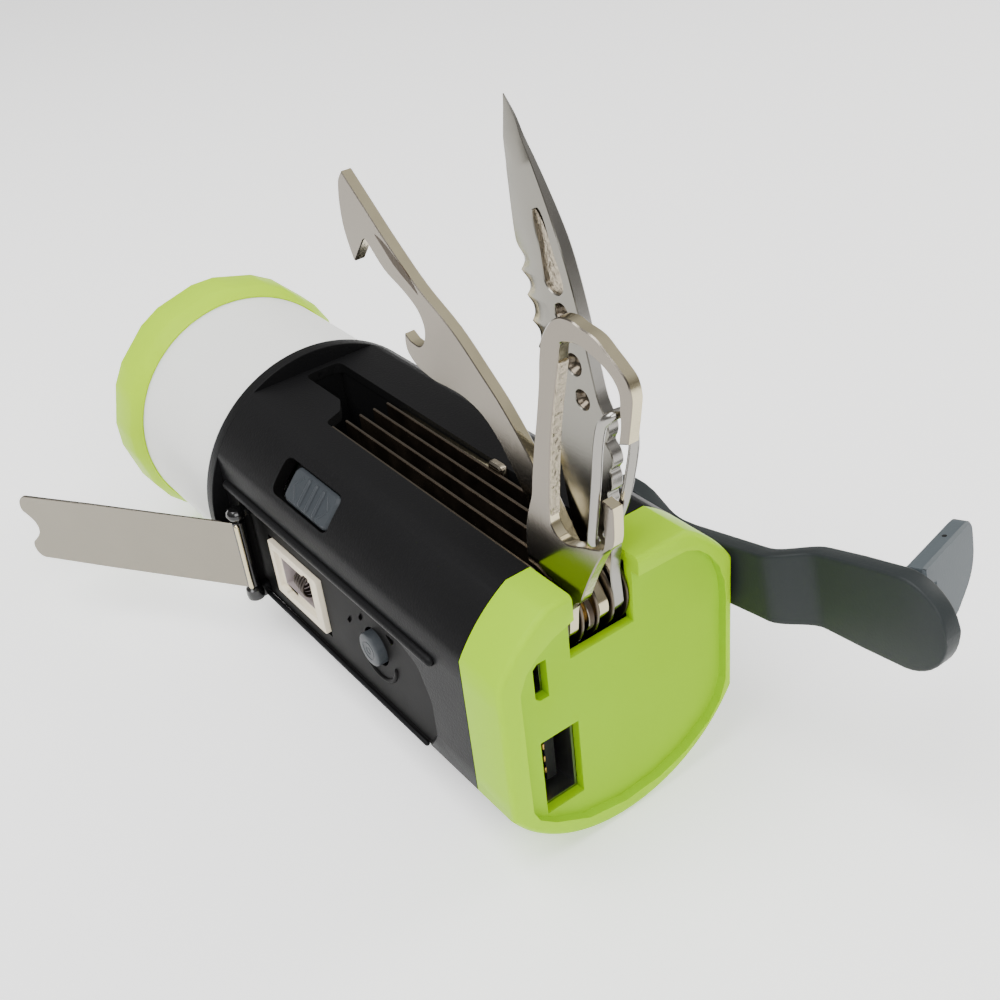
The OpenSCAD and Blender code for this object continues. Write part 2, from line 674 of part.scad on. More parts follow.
left_shell();
right_shell();
lantern_collar();
end_cap();
tool_tray();
left_liner();
divider_a();
divider_b();
divider_c();
right_liner();
back_springs();
pivot_pin();
frame_pins();
saw_washers();
carabiner();
carabiner_gate();
saw();
bottle_opener();
knife();
slim_driver();
driver_pin();
lighter_housing();
lighter_coil();
lighter_posts();
lighter_button();
switch_plunger();
button_switch();
cover_door();
door_pin();
slide_switch();
switch_body();
usb_a_shell();
usb_a_tongue();
micro_usb_shell();
micro_usb_tongue();
circuit_board();
battery();
battery_clips();
generator_case();
generator_rotor();
gearbox_plate();
crank_gear();
intermediate_gear();
intermediate_pin();
crank_shaft();
crank_bush();
crank_arm();
crank_screw();
crank_knob();
knob_pin();
diffuser();
lantern_ring();
led_disc();
torch_reflector();
torch_lens();
torch_led();
shell_screws();
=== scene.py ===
import json
import math
import bpy
import bmesh
from mathutils import Matrix, Vector
from mathutils.geometry import delaunay_2d_cdt


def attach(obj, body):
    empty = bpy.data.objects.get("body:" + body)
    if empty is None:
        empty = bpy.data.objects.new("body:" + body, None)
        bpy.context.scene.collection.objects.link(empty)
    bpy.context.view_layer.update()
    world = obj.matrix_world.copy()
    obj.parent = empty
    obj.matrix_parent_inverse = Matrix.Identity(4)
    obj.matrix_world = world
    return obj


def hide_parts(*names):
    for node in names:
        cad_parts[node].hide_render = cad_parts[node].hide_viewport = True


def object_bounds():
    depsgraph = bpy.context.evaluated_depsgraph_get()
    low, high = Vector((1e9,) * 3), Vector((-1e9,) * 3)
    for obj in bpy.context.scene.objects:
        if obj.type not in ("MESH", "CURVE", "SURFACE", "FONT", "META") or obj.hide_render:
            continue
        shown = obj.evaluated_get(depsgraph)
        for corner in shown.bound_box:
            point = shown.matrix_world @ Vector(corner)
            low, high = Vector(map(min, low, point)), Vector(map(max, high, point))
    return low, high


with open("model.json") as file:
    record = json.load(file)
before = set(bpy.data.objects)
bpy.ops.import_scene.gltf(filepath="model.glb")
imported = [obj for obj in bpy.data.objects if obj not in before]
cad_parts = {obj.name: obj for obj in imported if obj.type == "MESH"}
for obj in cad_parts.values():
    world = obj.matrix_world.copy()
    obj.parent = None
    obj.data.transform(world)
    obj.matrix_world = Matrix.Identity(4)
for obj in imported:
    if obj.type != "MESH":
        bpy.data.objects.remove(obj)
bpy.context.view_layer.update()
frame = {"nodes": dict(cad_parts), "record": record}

NODES = frame["nodes"]
MM = 0.001
AXIS_X, AXIS_Y, AXIS_Z = Vector((1, 0, 0)), Vector((0, 1, 0)), Vector((0, 0, 1))


# ---------------------------------------------------------------- materials
def linear(c):
    return tuple((x / 12.92 if x <= 0.04045 else ((x + 0.055) / 1.055) ** 2.4) for x in c)


def surface(name, color, rough=0.5, metal=0.0, grain=0.0, grain_size=1500.0, tint=0.0, patch=60.0,
        rough_var=0.0, streak=None, bump=0.15, coat=0.0, trans=0.0, sss=0.0, sss_col=None, ior=1.45,
        spec=0.5):
    """A procedural surface: colour patches, roughness variation and a fine bump."""
    m = bpy.data.materials.new(name)
    m.use_nodes = True
    nt = m.node_tree
    n, link = nt.nodes, nt.links.new
    p = n["Principled BSDF"]
    p.inputs["Metallic"].default_value = metal
    p.inputs["IOR"].default_value = ior
    p.inputs["Specular IOR Level"].default_value = spec
    p.inputs["Coat Weight"].default_value = coat
    p.inputs["Coat Roughness"].default_value = 0.12
    p.inputs["Transmission Weight"].default_value = trans
    p.inputs["Subsurface Weight"].default_value = sss
    p.inputs["Subsurface Scale"].default_value = 0.004
    if sss_col:
        p.inputs["Subsurface Radius"].default_value = sss_col
    co = n.new("ShaderNodeTexCoord")
    if tint > 0 or rough_var > 0:
        big = n.new("ShaderNodeTexNoise")
        big.inputs["Scale"].default_value = patch
        big.inputs["Detail"].default_value = 5.0
        link(co.outputs["Object"], big.inputs["Vector"])
    if tint > 0:
        ramp = n.new("ShaderNodeMix")
        ramp.data_type = "RGBA"
        lo = [max(0.0, c * (1 - tint)) for c in linear(color)]
        hi = [min(1.0, c * (1 + tint)) for c in linear(color)]
        ramp.inputs[6].default_value = (*lo, 1)
        ramp.inputs[7].default_value = (*hi, 1)
        link(big.outputs["Fac"], ramp.inputs[0])
        link(ramp.outputs[2], p.inputs["Base Color"])
    else:
        p.inputs["Base Color"].default_value = (*linear(color), 1)
    if rough_var > 0:
        r = n.new("ShaderNodeMapRange")
        r.inputs["To Min"].default_value = max(0.02, rough - rough_var)
        r.inputs["To Max"].default_value = rough + rough_var
        link(big.outputs["Fac"], r.inputs["Value"])
        link(r.outputs["Result"], p.inputs["Roughness"])
    else:
        p.inputs["Roughness"].default_value = rough
    if grain > 0:
        fine = n.new("ShaderNodeTexNoise")
        fine.inputs["Scale"].default_value = grain_size
        fine.inputs["Detail"].default_value = 3.0
        if streak:
            mp = n.new("ShaderNodeMapping")
            mp.inputs["Scale"].default_value = streak
            link(co.outputs["Object"], mp.inputs["Vector"])
            link(mp.outputs["Vector"], fine.inputs["Vector"])
        else:
            link(co.outputs["Object"], fine.inputs["Vector"])
        b = n.new("ShaderNodeBump")
        b.inputs["Strength"].default_value = bump
        b.inputs["Distance"].default_value = grain
        link(fine.outputs["Fac"], b.inputs["Height"])
        link(b.outputs["Normal"], p.inputs["Normal"])
    return m


# sRGB colour, roughness, and what else surface() is told
SURFACES = {
    "casing": ((0.058, 0.058, 0.062), 0.46, dict(
        grain=0.00009, grain_size=2600, tint=0.10, rough_var=0.05, bump=0.45, ior=1.38, spec=0.16)),
    # recess: a darker base colour than the casing, painted shade on the recessed panel, the holes and the
    # cut walls; its specular level is turned far down too
    "recess": ((0.05, 0.048, 0.048), 0.48, dict(
        grain=0.00006, grain_size=1800, tint=0.15, rough_var=0.08, ior=1.38, spec=0.07)),
    "lime_cap": ((0.58, 0.76, 0.0), 0.33, dict(
        grain=0.00003, grain_size=2200, tint=0.03, rough_var=0.04, sss=0.08, sss_col=(0.9, 1.0, 0.1),
        ior=1.38, spec=0.07)),
    "lime_face": ((0.53, 0.71, 0.0), 0.42, dict(
        grain=0.00005, grain_size=2600, tint=0.03, rough_var=0.04, ior=1.38, spec=0.05)),
    "lime_ring": ((0.64, 0.8, 0.0), 0.35, dict(
        grain=0.00003, grain_size=1500, tint=0.04, rough_var=0.05, sss=0.15, sss_col=(1.0, 1.0, 0.15),
        ior=1.38, spec=0.08)),
    "milky_plastic": ((0.93, 0.935, 0.91), 0.5, dict(
        grain=0.00003, grain_size=900, tint=0.01, rough_var=0.03, sss=0.7, sss_col=(1.0, 1.0, 0.9))),
    "tool_steel": ((0.49, 0.465, 0.425), 0.17, dict(
        metal=1, grain=0.00002, grain_size=300, tint=0.06, patch=90, rough_var=0.06, streak=(1, 12, 1.2),
        bump=0.2)),
    "blade_steel": ((0.49, 0.48, 0.45), 0.20, dict(
        metal=1, grain=0.00002, grain_size=350, tint=0.07, patch=80, rough_var=0.06, streak=(1, 1.2, 9),
        bump=0.2)),
    "spine_steel": ((0.76, 0.72, 0.6), 0.13, dict(
        metal=1, grain=0.00008, grain_size=420, tint=0.10, patch=300, rough_var=0.05, bump=0.5)),
    "rough_steel": ((0.66, 0.62, 0.55), 0.30, dict(
        metal=1, grain=0.0004, grain_size=1300, tint=0.25, patch=700, rough_var=0.12, bump=0.9)),
    "liner_steel": ((0.27, 0.235, 0.2), 0.45, dict(
        metal=1, grain=0.00015, grain_size=700, tint=0.30, patch=260, rough_var=0.15, bump=0.5)),
    "liner_bright": ((0.36, 0.33, 0.29), 0.24, dict(
        metal=1, grain=0.0001, grain_size=900, tint=0.2, patch=600, rough_var=0.08, bump=0.4)),
    "door_steel": ((0.54, 0.52, 0.475), 0.34, dict(
        metal=1, grain=0.00002, grain_size=300, tint=0.06, patch=120, rough_var=0.05, streak=(8, 8, 1),
        bump=0.2)),
    "pin_steel": ((0.56, 0.55, 0.53), 0.22, dict(
        metal=1, grain=0.00002, grain_size=900, tint=0.08, rough_var=0.05)),
    "port_steel": ((0.62, 0.62, 0.62), 0.28, dict(
        metal=1, grain=0.00002, grain_size=1200, tint=0.08, rough_var=0.06)),
    "brass_part": ((0.76, 0.60, 0.32), 0.28, dict(
        metal=1, grain=0.00002, grain_size=900, tint=0.08, rough_var=0.06)),
    "black_inner": ((0.05, 0.05, 0.052), 0.5, dict(
        grain=0.00006, grain_size=1800, tint=0.12, rough_var=0.08, spec=0.2)),
    "gloss_black": ((0.035, 0.035, 0.037), 0.18, dict(
        grain=0.00003, grain_size=900, tint=0.10, rough_var=0.05, coat=0.4, spec=0.45)),
    "ceramic_white": ((0.84, 0.8, 0.71), 0.6, dict(
        grain=0.0002, grain_size=1500, tint=0.10, patch=400, rough_var=0.08, bump=0.5)),
    "mica": ((0.55, 0.51, 0.51), 0.4, dict(
        grain=0.0001, grain_size=900, tint=0.2, patch=500, rough_var=0.08, bump=0.4)),
    "coil_wire": ((0.3, 0.275, 0.26), 0.42, dict(
        metal=1, grain=0.00005, grain_size=3000, tint=0.25, patch=900, rough_var=0.1)),
    "grey_plastic": ((0.19, 0.205, 0.22), 0.42, dict(
        grain=0.00007, grain_size=2400, tint=0.06, rough_var=0.06, bump=0.35, ior=1.38, spec=0.3)),
    "crank_slate": ((0.15, 0.165, 0.168), 0.42, dict(
        grain=0.00006, grain_size=2400, tint=0.07, rough_var=0.06, bump=0.3, ior=1.38, spec=0.22)),
    "knob_grey": ((0.27, 0.295, 0.31), 0.45, dict(
        grain=0.00006, grain_size=2400, tint=0.05, rough_var=0.06, bump=0.3, ior=1.38, spec=0.3)),
    "board_green": ((0.08, 0.32, 0.18), 0.35, dict(
        grain=0.00004, grain_size=900, tint=0.2, rough_var=0.1, coat=0.3)),
    "battery_wrap": ((0.25, 0.42, 0.58), 0.3, dict(
        grain=0.00002, grain_size=900, tint=0.06, rough_var=0.06)),
    "generator_metal": ((0.60, 0.60, 0.60), 0.3, dict(
        metal=1, grain=0.00002, grain_size=900, tint=0.08, rough_var=0.06)),
    "rotor_metal": ((0.40, 0.40, 0.42), 0.35, dict(
        metal=1, grain=0.00002, grain_size=900, tint=0.08, rough_var=0.06)),
    "gear_white": ((0.85, 0.84, 0.80), 0.45, dict(
        grain=0.00003, grain_size=900, tint=0.03, rough_var=0.05)),
    "white_inner": ((0.90, 0.90, 0.88), 0.5, dict(
        grain=0.00003, grain_size=900, tint=0.02, rough_var=0.05)),
    "mirror_finish": ((0.90, 0.90, 0.92), 0.06, dict(
        metal=1, grain=0.00001, grain_size=300, tint=0.02, rough_var=0.02)),
    "clear_lens": ((0.92, 0.95, 0.96), 0.05, dict(
        grain=0.00001, grain_size=300, tint=0.01, rough_var=0.02, trans=1.0)),
    "led_yellow": ((0.95, 0.86, 0.40), 0.4, dict(
        grain=0.00003, grain_size=900, tint=0.05, rough_var=0.05)),
    "screw_black": ((0.1, 0.1, 0.1), 0.35, dict(
        metal=0.6, grain=0.00003, grain_size=900, tint=0.1, rough_var=0.06)),
}
M = {name: surface(name, color, rough, **more) for name, (color, rough, more) in SURFACES.items()}


# ---------------------------------------------------------------- meshes
def finish_mesh(o, angle=34.0):
    o.data.polygons.foreach_set("use_smooth", [True] * len(o.data.polygons))
    o.data.set_sharp_from_angle(angle=math.radians(angle))
    return o


def add(name, verts, faces, mat, angle=34.0, matrix=None):
    """A mesh object from vertices in millimetres."""
    me = bpy.data.meshes.new(name)
    pts = [(matrix @ Vector(v) if matrix else Vector(v)) * MM for v in verts]
    me.from_pydata(pts, [], faces)
    bm = bmesh.new()
    bm.from_mesh(me)
    bmesh.ops.remove_doubles(bm, verts=bm.verts, dist=1e-7)
    bmesh.ops.recalc_face_normals(bm, faces=bm.faces)
    bm.to_mesh(me)
    bm.free()
    o = bpy.data.objects.new(name, me)
    bpy.context.scene.collection.objects.link(o)
    for k in (mat if isinstance(mat, (list, tuple)) else [mat]):
        me.materials.append(M[k])
    return finish_mesh(o, angle)


def settle(o, body, slot_name, *nodes):
    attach(o, body)
    if nodes:
        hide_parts(*nodes)
    return o


def area2(loop):
    return sum(a[0] * b[1] - b[0] * a[1] for a, b in zip(loop, loop[1:] + loop[:1])) / 2


def curve(points, steps=5):
    """A closed smooth outline through points. A point with a third value is a corner."""
    pts = [(p[0], p[1]) for p in points]
    corner = [len(p) > 2 for p in points]
    n, out = len(pts), []
    for i in range(n):
        a, b = Vector(pts[i]), Vector(pts[(i + 1) % n])
        before, after = Vector(pts[i - 1]), Vector(pts[(i + 2) % n])
        if corner[i] and corner[(i + 1) % n]:
            out.append(tuple(a))
            continue
        length = (b - a).length
        ta = tb = b - a
        if not corner[i]:
            ta = (b - before) / max(1e-6, length + (a - before).length) * length
        if not corner[(i + 1) % n]:
            tb = (after - a) / max(1e-6, length + (after - b).length) * length
        for k in range(steps):
            t = k / steps
            out.append(tuple(a * (2 * t ** 3 - 3 * t ** 2 + 1) + ta * (t ** 3 - 2 * t ** 2 + t)
                             + b * (3 * t ** 2 - 2 * t ** 3) + tb * (t ** 3 - t ** 2)))
    return out


def inset(loop, d):
    """The loop moved inwards by d, one number or one for each point."""
    n = len(loop)
    d = d if isinstance(d, list) else [d] * n
    sign = 1 if area2(loop) > 0 else -1
    out = []
    for i in range(n):
        p, a, b = Vector(loop[i]), Vector(loop[i - 1]), Vector(loop[(i + 1) % n])
        e, f = (p - a).normalized(), (b - p).normalized()
        ne, nf = Vector((-e.y, e.x)), Vector((-f.y, f.x))
        m = (ne + nf)
        m = m.normalized() if m.length > 1e-6 else ne
        k = 1 / max(0.45, m.dot(ne))
        out.append(tuple(p + m * (d[i] * sign * k)))
    return out


def inside(p, loops):
    c = False
    for loop in loops:
        for a, b in zip(loop, loop[1:] + loop[:1]):
            crosses = (a[1] > p[1]) != (b[1] > p[1])
            if crosses and p[0] < (b[0] - a[0]) * (p[1] - a[1]) / (b[1] - a[1]) + a[0]:
                c = not c
    return c


def fill(loops):
    """Triangles between an outline and the holes in it: (points, triangles)."""
    pts, edges = [], []
    for loop in loops:
        s = len(pts)
        pts += [Vector(p) for p in loop]
        edges += [(s + i, s + (i + 1) % len(loop)) for i in range(len(loop))]
    v, _, f, _, _, _ = delaunay_2d_cdt(pts, edges, [], 0, 1e-6)
    keep = []
    for t in f:
        c = sum((v[i] for i in t), Vector((0, 0))) / len(t)
        if inside(c, loops):
            keep.append(tuple(t))
    return v, keep


def slab(name, outline, holes, t, mat, body, slot_name, nodes=(), matrix=None, bevel=0.12, edge_t=None,
         inner=None, angle=34.0, side_mat=None, hole_bevel=None, taper=None):
    """A flat piece across local Z, with bevelled edges. inner and edge_t give it a ground edge."""
    top = inner or inset(outline, bevel)
    side = edge_t or [t - 2 * bevel] * len(outline)
    hb = bevel if hole_bevel is None else hole_bevel
    rims = [inset(h, -hb) for h in holes]
    verts, faces, mats = [], [], []

    def ring(loop, z):
        s = len(verts)
        for i, p in enumerate(loop):
            verts.append((p[0], p[1], z[i] if isinstance(z, list) else z))
        return list(range(s, s + len(loop)))

    def band(a, b, m):
        for i in range(len(a)):
            j = (i + 1) % len(a)
            faces.append((a[i], a[j], b[j], b[i]))
            mats.append(m)
    m_side = 1 if side_mat else 0
    lo, hi = ring(outline, [-s / 2 for s in side]), ring(outline, [s / 2 for s in side])
    band(lo, hi, m_side)
    scale = taper or (lambda p: 1.0)
    for z, r in ((-t / 2, lo), (t / 2, hi)):
        band(r, ring(top, [z * scale(p) for p in top]), 0)
    for h, rim in zip(holes, rims):
        a, b = ring(h, -(t / 2 - hb)), ring(h, t / 2 - hb)
        band(a, b, m_side)
        band(a, ring(rim, -t / 2), 0)
        band(b, ring(rim, t / 2), 0)
    pts, tris = fill([top] + rims)
    for z in (-t / 2, t / 2):
        s = len(verts)
        verts += [(p.x, p.y, z * scale(p)) for p in pts]
        for f in tris:
            faces.append(tuple(s + i for i in f))
            mats.append(0)
    me = bpy.data.meshes.new(name)
    me.from_pydata([(matrix @ Vector(v) if matrix else Vector(v)) * MM for v in verts], [], faces)
    for k in [mat] + ([side_mat] if side_mat else []):
        me.materials.append(M[k])
    me.polygons.foreach_set("material_index", mats)
    bm = bmesh.new()
    bm.from_mesh(me)
    bmesh.ops.remove_doubles(bm, verts=bm.verts, dist=2e-7)
    bmesh.ops.recalc_face_normals(bm, faces=bm.faces)
    bm.to_mesh(me)
    bm.free()
    o = bpy.data.objects.new(name, me)
    bpy.context.scene.collection.objects.link(o)
    finish_mesh(o, angle)
    return settle(o, body, slot_name, *nodes)


def circle(cx, cy, r, n=32):
    turns = [2 * math.pi * i / n for i in range(n)]
    return [(cx + r * math.cos(a), cy + r * math.sin(a)) for a in turns]


def lathe(name, profile_pts, mat, matrix=None, n=96, closed=True, angle=34.0):
    """Turns (radius, height) points about local Z."""
    verts, faces = [], []
    m = len(profile_pts)
    for i in range(n):
        a = 2 * math.pi * i / n
        verts += [(r * math.cos(a), r * math.sin(a), z) for r, z in profile_pts]
    for i in range(n):
        j = (i + 1) % n
        for k in range(m if closed else m - 1):
            l = (k + 1) % m
            quad = [i * m + k, i * m + l, j * m + l, j * m + k]
            faces.append(quad)
    return add(name, verts, faces, mat, angle, matrix)


def tube(name, path, r, mat, n=16, matrix=None, round_ends=True, rings=3):
    """A round wire along a path of 3-D points, with domed ends."""
    p = [Vector(q) for q in path]
    verts, faces = [], []
    t0 = (p[1] - p[0]).normalized()
    up = Vector((0, 0, 1)) if abs(t0.z) < 0.9 else Vector((1, 0, 0))
    u = t0.cross(up).normalized()
    stations = []
    for i in range(len(p)):
        t = (p[min(i + 1, len(p) - 1)] - p[max(i - 1, 0)]).normalized()
        u = (u - t * u.dot(t)).normalized()
        w = t.cross(u)
        stations.append((p[i], t, u.copy(), w, r))
    if round_ends:
        q, t, a, b, _ = stations[0]
        turns = [math.radians(88 - 88 * k / rings) for k in range(rings)]
        head = [(q - t * r * math.sin(x), t, a, b, r * math.cos(x)) for x in turns]
        q, t, a, b, _ = stations[-1]
        turns = [math.radians(88 * (k + 1) / rings) for k in range(rings)]
        tail = [(q + t * r * math.sin(x), t, a, b, r * math.cos(x)) for x in turns]
        stations = head + stations + tail
    for q, t, a, b, rr in stations:
        for k in range(n):
            x = 2 * math.pi * k / n
            verts.append(tuple(q + (a * math.cos(x) + b * math.sin(x)) * rr))
    for i in range(len(stations) - 1):
        for k in range(n):
            l = (k + 1) % n
            faces.append((i * n + k, i * n + l, (i + 1) * n + l, (i + 1) * n + k))
    faces.append(tuple(range(n)))
    faces.append(tuple((len(stations) - 1) * n + k for k in range(n)))
    return add(name, verts, faces, mat, 50, matrix)


def loft(name, rings, mat, angle=34.0, matrix=None, caps=True):
    """Joins rings of 3-D points that all have the same count."""
    n = len(rings[0])
    verts = [p for ring in rings for p in ring]
    faces = [(i * n + k, i * n + (k + 1) % n, (i + 1) * n + (k + 1) % n, (i + 1) * n + k)
             for i in range(len(rings) - 1) for k in range(n)]
    if caps:
        faces += [tuple(range(n)), tuple((len(rings) - 1) * n + k for k in range(n))]
    return add(name, verts, faces, mat, angle, matrix)


def box_obj(name, lo, hi, mat, bevel=0.0, matrix=None):
    verts = [(x, y, z) for x in (lo[0], hi[0]) for y in (lo[1], hi[1]) for z in (lo[2], hi[2])]
    faces = [(0, 1, 3, 2), (4, 6, 7, 5), (0, 4, 5, 1), (2, 3, 7, 6), (0, 2, 6, 4), (1, 5, 7, 3)]
    o = add(name, verts, faces, mat, 34, matrix)
    return soften(o, bevel) if bevel else o


def apply_modifiers(o):
    bpy.context.view_layer.update()
    ev = o.evaluated_get(bpy.context.evaluated_depsgraph_get())
    me = bpy.data.meshes.new_from_object(ev)
    o.modifiers.clear()
    o.data = me
    return o


def soften(o, width, segments=2, angle=40.0):
    b = o.modifiers.new("bevel", "BEVEL")
    b.width = width * MM
    b.segments = segments
    b.limit_method = "ANGLE"
    b.angle_limit = math.radians(angle)
    b.harden_normals = False
    b.use_clamp_overlap = True
    apply_modifiers(o)
    return finish_mesh(o, 34)


def cut(o, *cutters, op="DIFFERENCE"):
    for c in cutters:
        b = o.modifiers.new("cut", "BOOLEAN")
        b.operation = op
        b.object = c
        b.solver = "EXACT"
        b.material_mode = "TRANSFER"
        apply_modifiers(o)
        bpy.data.objects.remove(c)
    return o


def prism(name, outline, axis, lo, hi, mat="casing"):
    """A 2-D outline pushed along X, Y or Z. Outlines are (y, z), (x, z) and (x, y)."""
    put = {"x": lambda p, t: (t, p[0], p[1]),
           "y": lambda p, t: (p[0], t, p[1]),
           "z": lambda p, t: (p[0], p[1], t)}[axis]
    return loft(name, [[put(p, lo) for p in outline], [put(p, hi) for p in outline]], mat)


def rounded(points, r, n=5):
    """A polygon with its corners rounded to radius r, or to each point's third value."""
    out = []
    m = len(points)
    for i in range(m):
        p, a, b = Vector(points[i][:2]), Vector(points[i - 1][:2]), Vector(points[(i + 1) % m][:2])
        rr = points[i][2] if len(points[i]) > 2 else r
        e, f = (a - p).normalized(), (b - p).normalized()
        half = math.acos(max(-1, min(1, e.dot(f)))) / 2
        if rr <= 0 or half > 1.55:
            out.append(tuple(p))
            continue
        d = min(rr / math.tan(half), (a - p).length * 0.49, (b - p).length * 0.49)
        s, t = p + e * d, p + f * d
        for k in range(n + 1):
            u = k / n
            out.append(tuple(s * (1 - u) ** 2 + p * 2 * u * (1 - u) + t * u * u))
    return out


def frame_matrix(origin, ex, ey, ez):
    m = Matrix((ex, ey, ez)).transposed().to_4x4()
    m.translation = Vector(origin)
    return m


def side_on(x, y=0, z=0):
    """Local X and Y lie along the body and up; local Z points to the crank side."""
    return frame_matrix((x, y, z), AXIS_Y, AXIS_Z, AXIS_X)


# ---------------------------------------------------------------- casing
R = 25.0            # circle round the casing
INNER_R = 22.8      # inside of the casing and the cap


def profile(r, n_arc=14):
    """Section (x, z): round with flats on top, left and right, corners just eased."""
    f = r * math.cos(math.radians(30))
    pts = []

    def arc(a0, a1, n):
        for k in range(n + 1):
            a = math.radians(a0 + (a1 - a0) * k / n)
            pts.append((r * math.cos(a), r * math.sin(a)))

    def line(p, q, n=6):
        for k in range(1, n):
            pts.append((p[0] + (q[0] - p[0]) * k / n, p[1] + (q[1] - p[1]) * k / n))
    arc(30, 60, n_arc)
    line(pts[-1], (-pts[-1][0], pts[-1][1]))
    arc(120, 150, n_arc)
    line(pts[-1], (-f, -r / 2))
    arc(210, 330, n_arc * 4)
    line(pts[-1], (f, r / 2))
    return pts


def at_y(loop, y):
    return [(p[0], y, p[1]) for p in loop]


BAY = rounded([(-8.4, 5.5, 0), (4.6, 5.5, 0), (4.6, 80.6, 1.6), (-2.6, 80.6, 1.6), (-2.6, 68.2, 2.2),
               (-4.6, 64.9, 1.5), (-8.4, 63.2, 1.6)], 1.0)
RECESS = rounded([(76.4, 5.6, 0.8), (27, 5.6, 3), (20.5, 3.2, 2.5), (18.0, -2.0, 2), (18.0, -8.8, 3),
    (21.5, -13.6, 2.0), (76.4, -13.8, 0.8)], 1.0)
shell = loft("casing_skin", [at_y(profile(R), 7.65), at_y(profile(R), 82.0)], "casing")
hollow = loft("hollow", [at_y(profile(INNER_R), 7.0), at_y(profile(INNER_R), 83.0)], "recess")
backing = prism("backing", [(13, -17.5), (79, -17.5), (79, 9), (13, 9)], "x", -22.0, -18.4)
core = loft("core", [at_y(profile(23.2), 12.0), at_y(profile(23.2), 79.5)], "casing")
cut(backing, core, op="INTERSECT")
cut(shell, hollow)
cut(shell, backing, op="UNION")
cut(shell,
    prism("c1", BAY, "z", 3, 40, "black_inner"),
    loft("c2", [[(-24.0, *p) for p in inset(RECESS, -2.6)], [(-21.7, *p) for p in inset(RECESS, -0.75)],
                [(-20.5, *p) for p in RECESS]], "recess"),
    prism("c3", [(51.3, -10.9), (69.9, -10.9), (69.9, 1.3), (51.3, 1.3)], "x", -26, -17, "recess"),
    prism("c4", circle(34.8, -2.6, 3.45, 40), "x", -26, -17, "recess"),
    prism("c5", circle(22.9, 3.2, 4.5, 48), "x", 15, 30, "recess"))
for y in (17, 74):
    cut(shell, prism("c6", circle(y, -20.5, 2.0, 32), "x", 9.2, 30, "recess"))
# slide switch window, square to the round side
TURN = math.radians(138.5)
OUT = Vector((math.cos(TURN), 0, math.sin(TURN)))
ACROSS = Vector((-math.sin(TURN), 0, math.cos(TURN)))
SIGN = -1 if ACROSS.cross(AXIS_Y).dot(OUT) < 0 else 1
SW = frame_matrix((0, 0, 0), ACROSS, AXIS_Y, SIGN * OUT)
window = rounded([(-3.4, 45.0), (3.4, 45.0), (3.4, 62.8), (-3.4, 62.8)], 1.6)
cut(shell, loft("c7", [[(*p, SIGN * z) for p in window] for z in (18, 30)], "recess", matrix=SW))
# marks pressed into the recess floor
for pts in ([(31.2, 2.4), (28.2, 2.5), (29.4, 0.9)], [(41.7, -1.1), (42.4, -0.7), (43.9, -2.5),
        (43.2, -2.9)], [(37.4, 1.9), (38.1, 2.3), (39.6, 0.5), (38.9, 0.1)]):
    cut(shell, prism("c8", rounded(pts, 0.3, 3), "x", -26, -20.1, "recess"))
for name, x0, x1, node in (("left_half", -40, 0.0, "left_shell"), ("right_half", 0.0, 40, "right_shell")):
    half = shell.copy()
    half.data = shell.data.copy()
    half.name = name
    bpy.context.scene.collection.objects.link(half)
    keep = box_obj("keep", (x0, 0, -40), (x1, 100, 40), "casing")
    cut(half, keep, op="INTERSECT")
    soften(half, 0.22)
    settle(half, "body", "casing", node)
bpy.data.objects.remove(shell)

# raised bead over the recess, lower lip, and the groove that curls round the button
for name, a, b, r, x in (("bead", (15.5, 7.6), (80.0, 7.6), 0.85, -21.85),
        ("lower_lip", (22.5, -14.5), (76.0, -14.6), 0.45, -20.95)):
    settle(tube(name, [(x, a[0] + (b[0] - a[0]) * k / 8, a[1] + (b[1] - a[1]) * k / 8) for k in range(9)],
        r, "casing"), "body", "casing")
hook = [(-20.45, 34.8 + 5.6 * math.cos(a), -3.2 + 5.6 * math.sin(a))
        for a in map(math.radians, range(-20, -171, -10))]
settle(tube("curl", hook, 0.42, "recess"), "body", "casing")

# collar between shells and diffuser
TURN_Y = frame_matrix((0, 0, 0), AXIS_X, -AXIS_Z, AXIS_Y)
settle(lathe("collar", [(15, 82.0), (24.9, 82.0), (25.0, 82.1), (25.0, 84.2), (24.85, 84.6), (24.4, 84.9),
    (15, 84.9)], "casing", TURN_Y, 128), "body", "casing", "lantern_collar")

# ---------------------------------------------------------------- end cap
RIM_IN = [(-18.2, -12.6), (-18.2, 10.0), (-16.9, 12.9), (-14.9, 14.8), (-11.9, 16.5), (-7.9, 17.7),
    (-4.0, 18.4), (4.0, 18.7), (12.4, 18.4), (14.9, 17.2), (16.9, 15.3), (18.8, 12.4), (19.9, 9.2),
    (20.2, 6.0), (20.2, -10.5), (19.0, -14.2), (16.5, -17.2), (11.5, -20.3), (6.0, -22.0), (-1.0, -22.4),
    (-8.3, -20.9), (-14.5, -17.3), (-17.2, -14.9)]
cap_solid = loft("end_cap_skin", [at_y(profile(r), y) for r, y in [(23.4, 7.6), (24.9, 7.6), (25.0, 7.5),
    (25.0, -0.55), (24.93, -0.95), (24.72, -1.27), (24.4, -1.46), (24.0, -1.5)]], "lime_cap")
cut(cap_solid, prism("k0", rounded(RIM_IN, 0.6, 3), "y", -5, 0.0, "lime_face"))
cut(cap_solid, loft("k1", [at_y(profile(INNER_R), 1.6), at_y(profile(INNER_R), 12)], "lime_cap"))
NOTCH = [(-8.3, 9.8), (3.4, 9.8), (3.4, 40), (-8.3, 40)]
cut(cap_solid, prism("k2", NOTCH, "y", -5, 12, "lime_cap"), prism("k3",
    [(-14.75, -16.5), (-7.84, -16.5), (-7.84, -2.2), (-14.75, -2.2)], "y", -1, 3, "lime_face"),
    prism("k4", [(-14.8, 6.2), (-14.0, 5.5), (-12.45, 5.5), (-12.45, 12.2), (-14.0, 12.2), (-14.8, 11.5)],
    "y", -1, 3, "lime_face"))
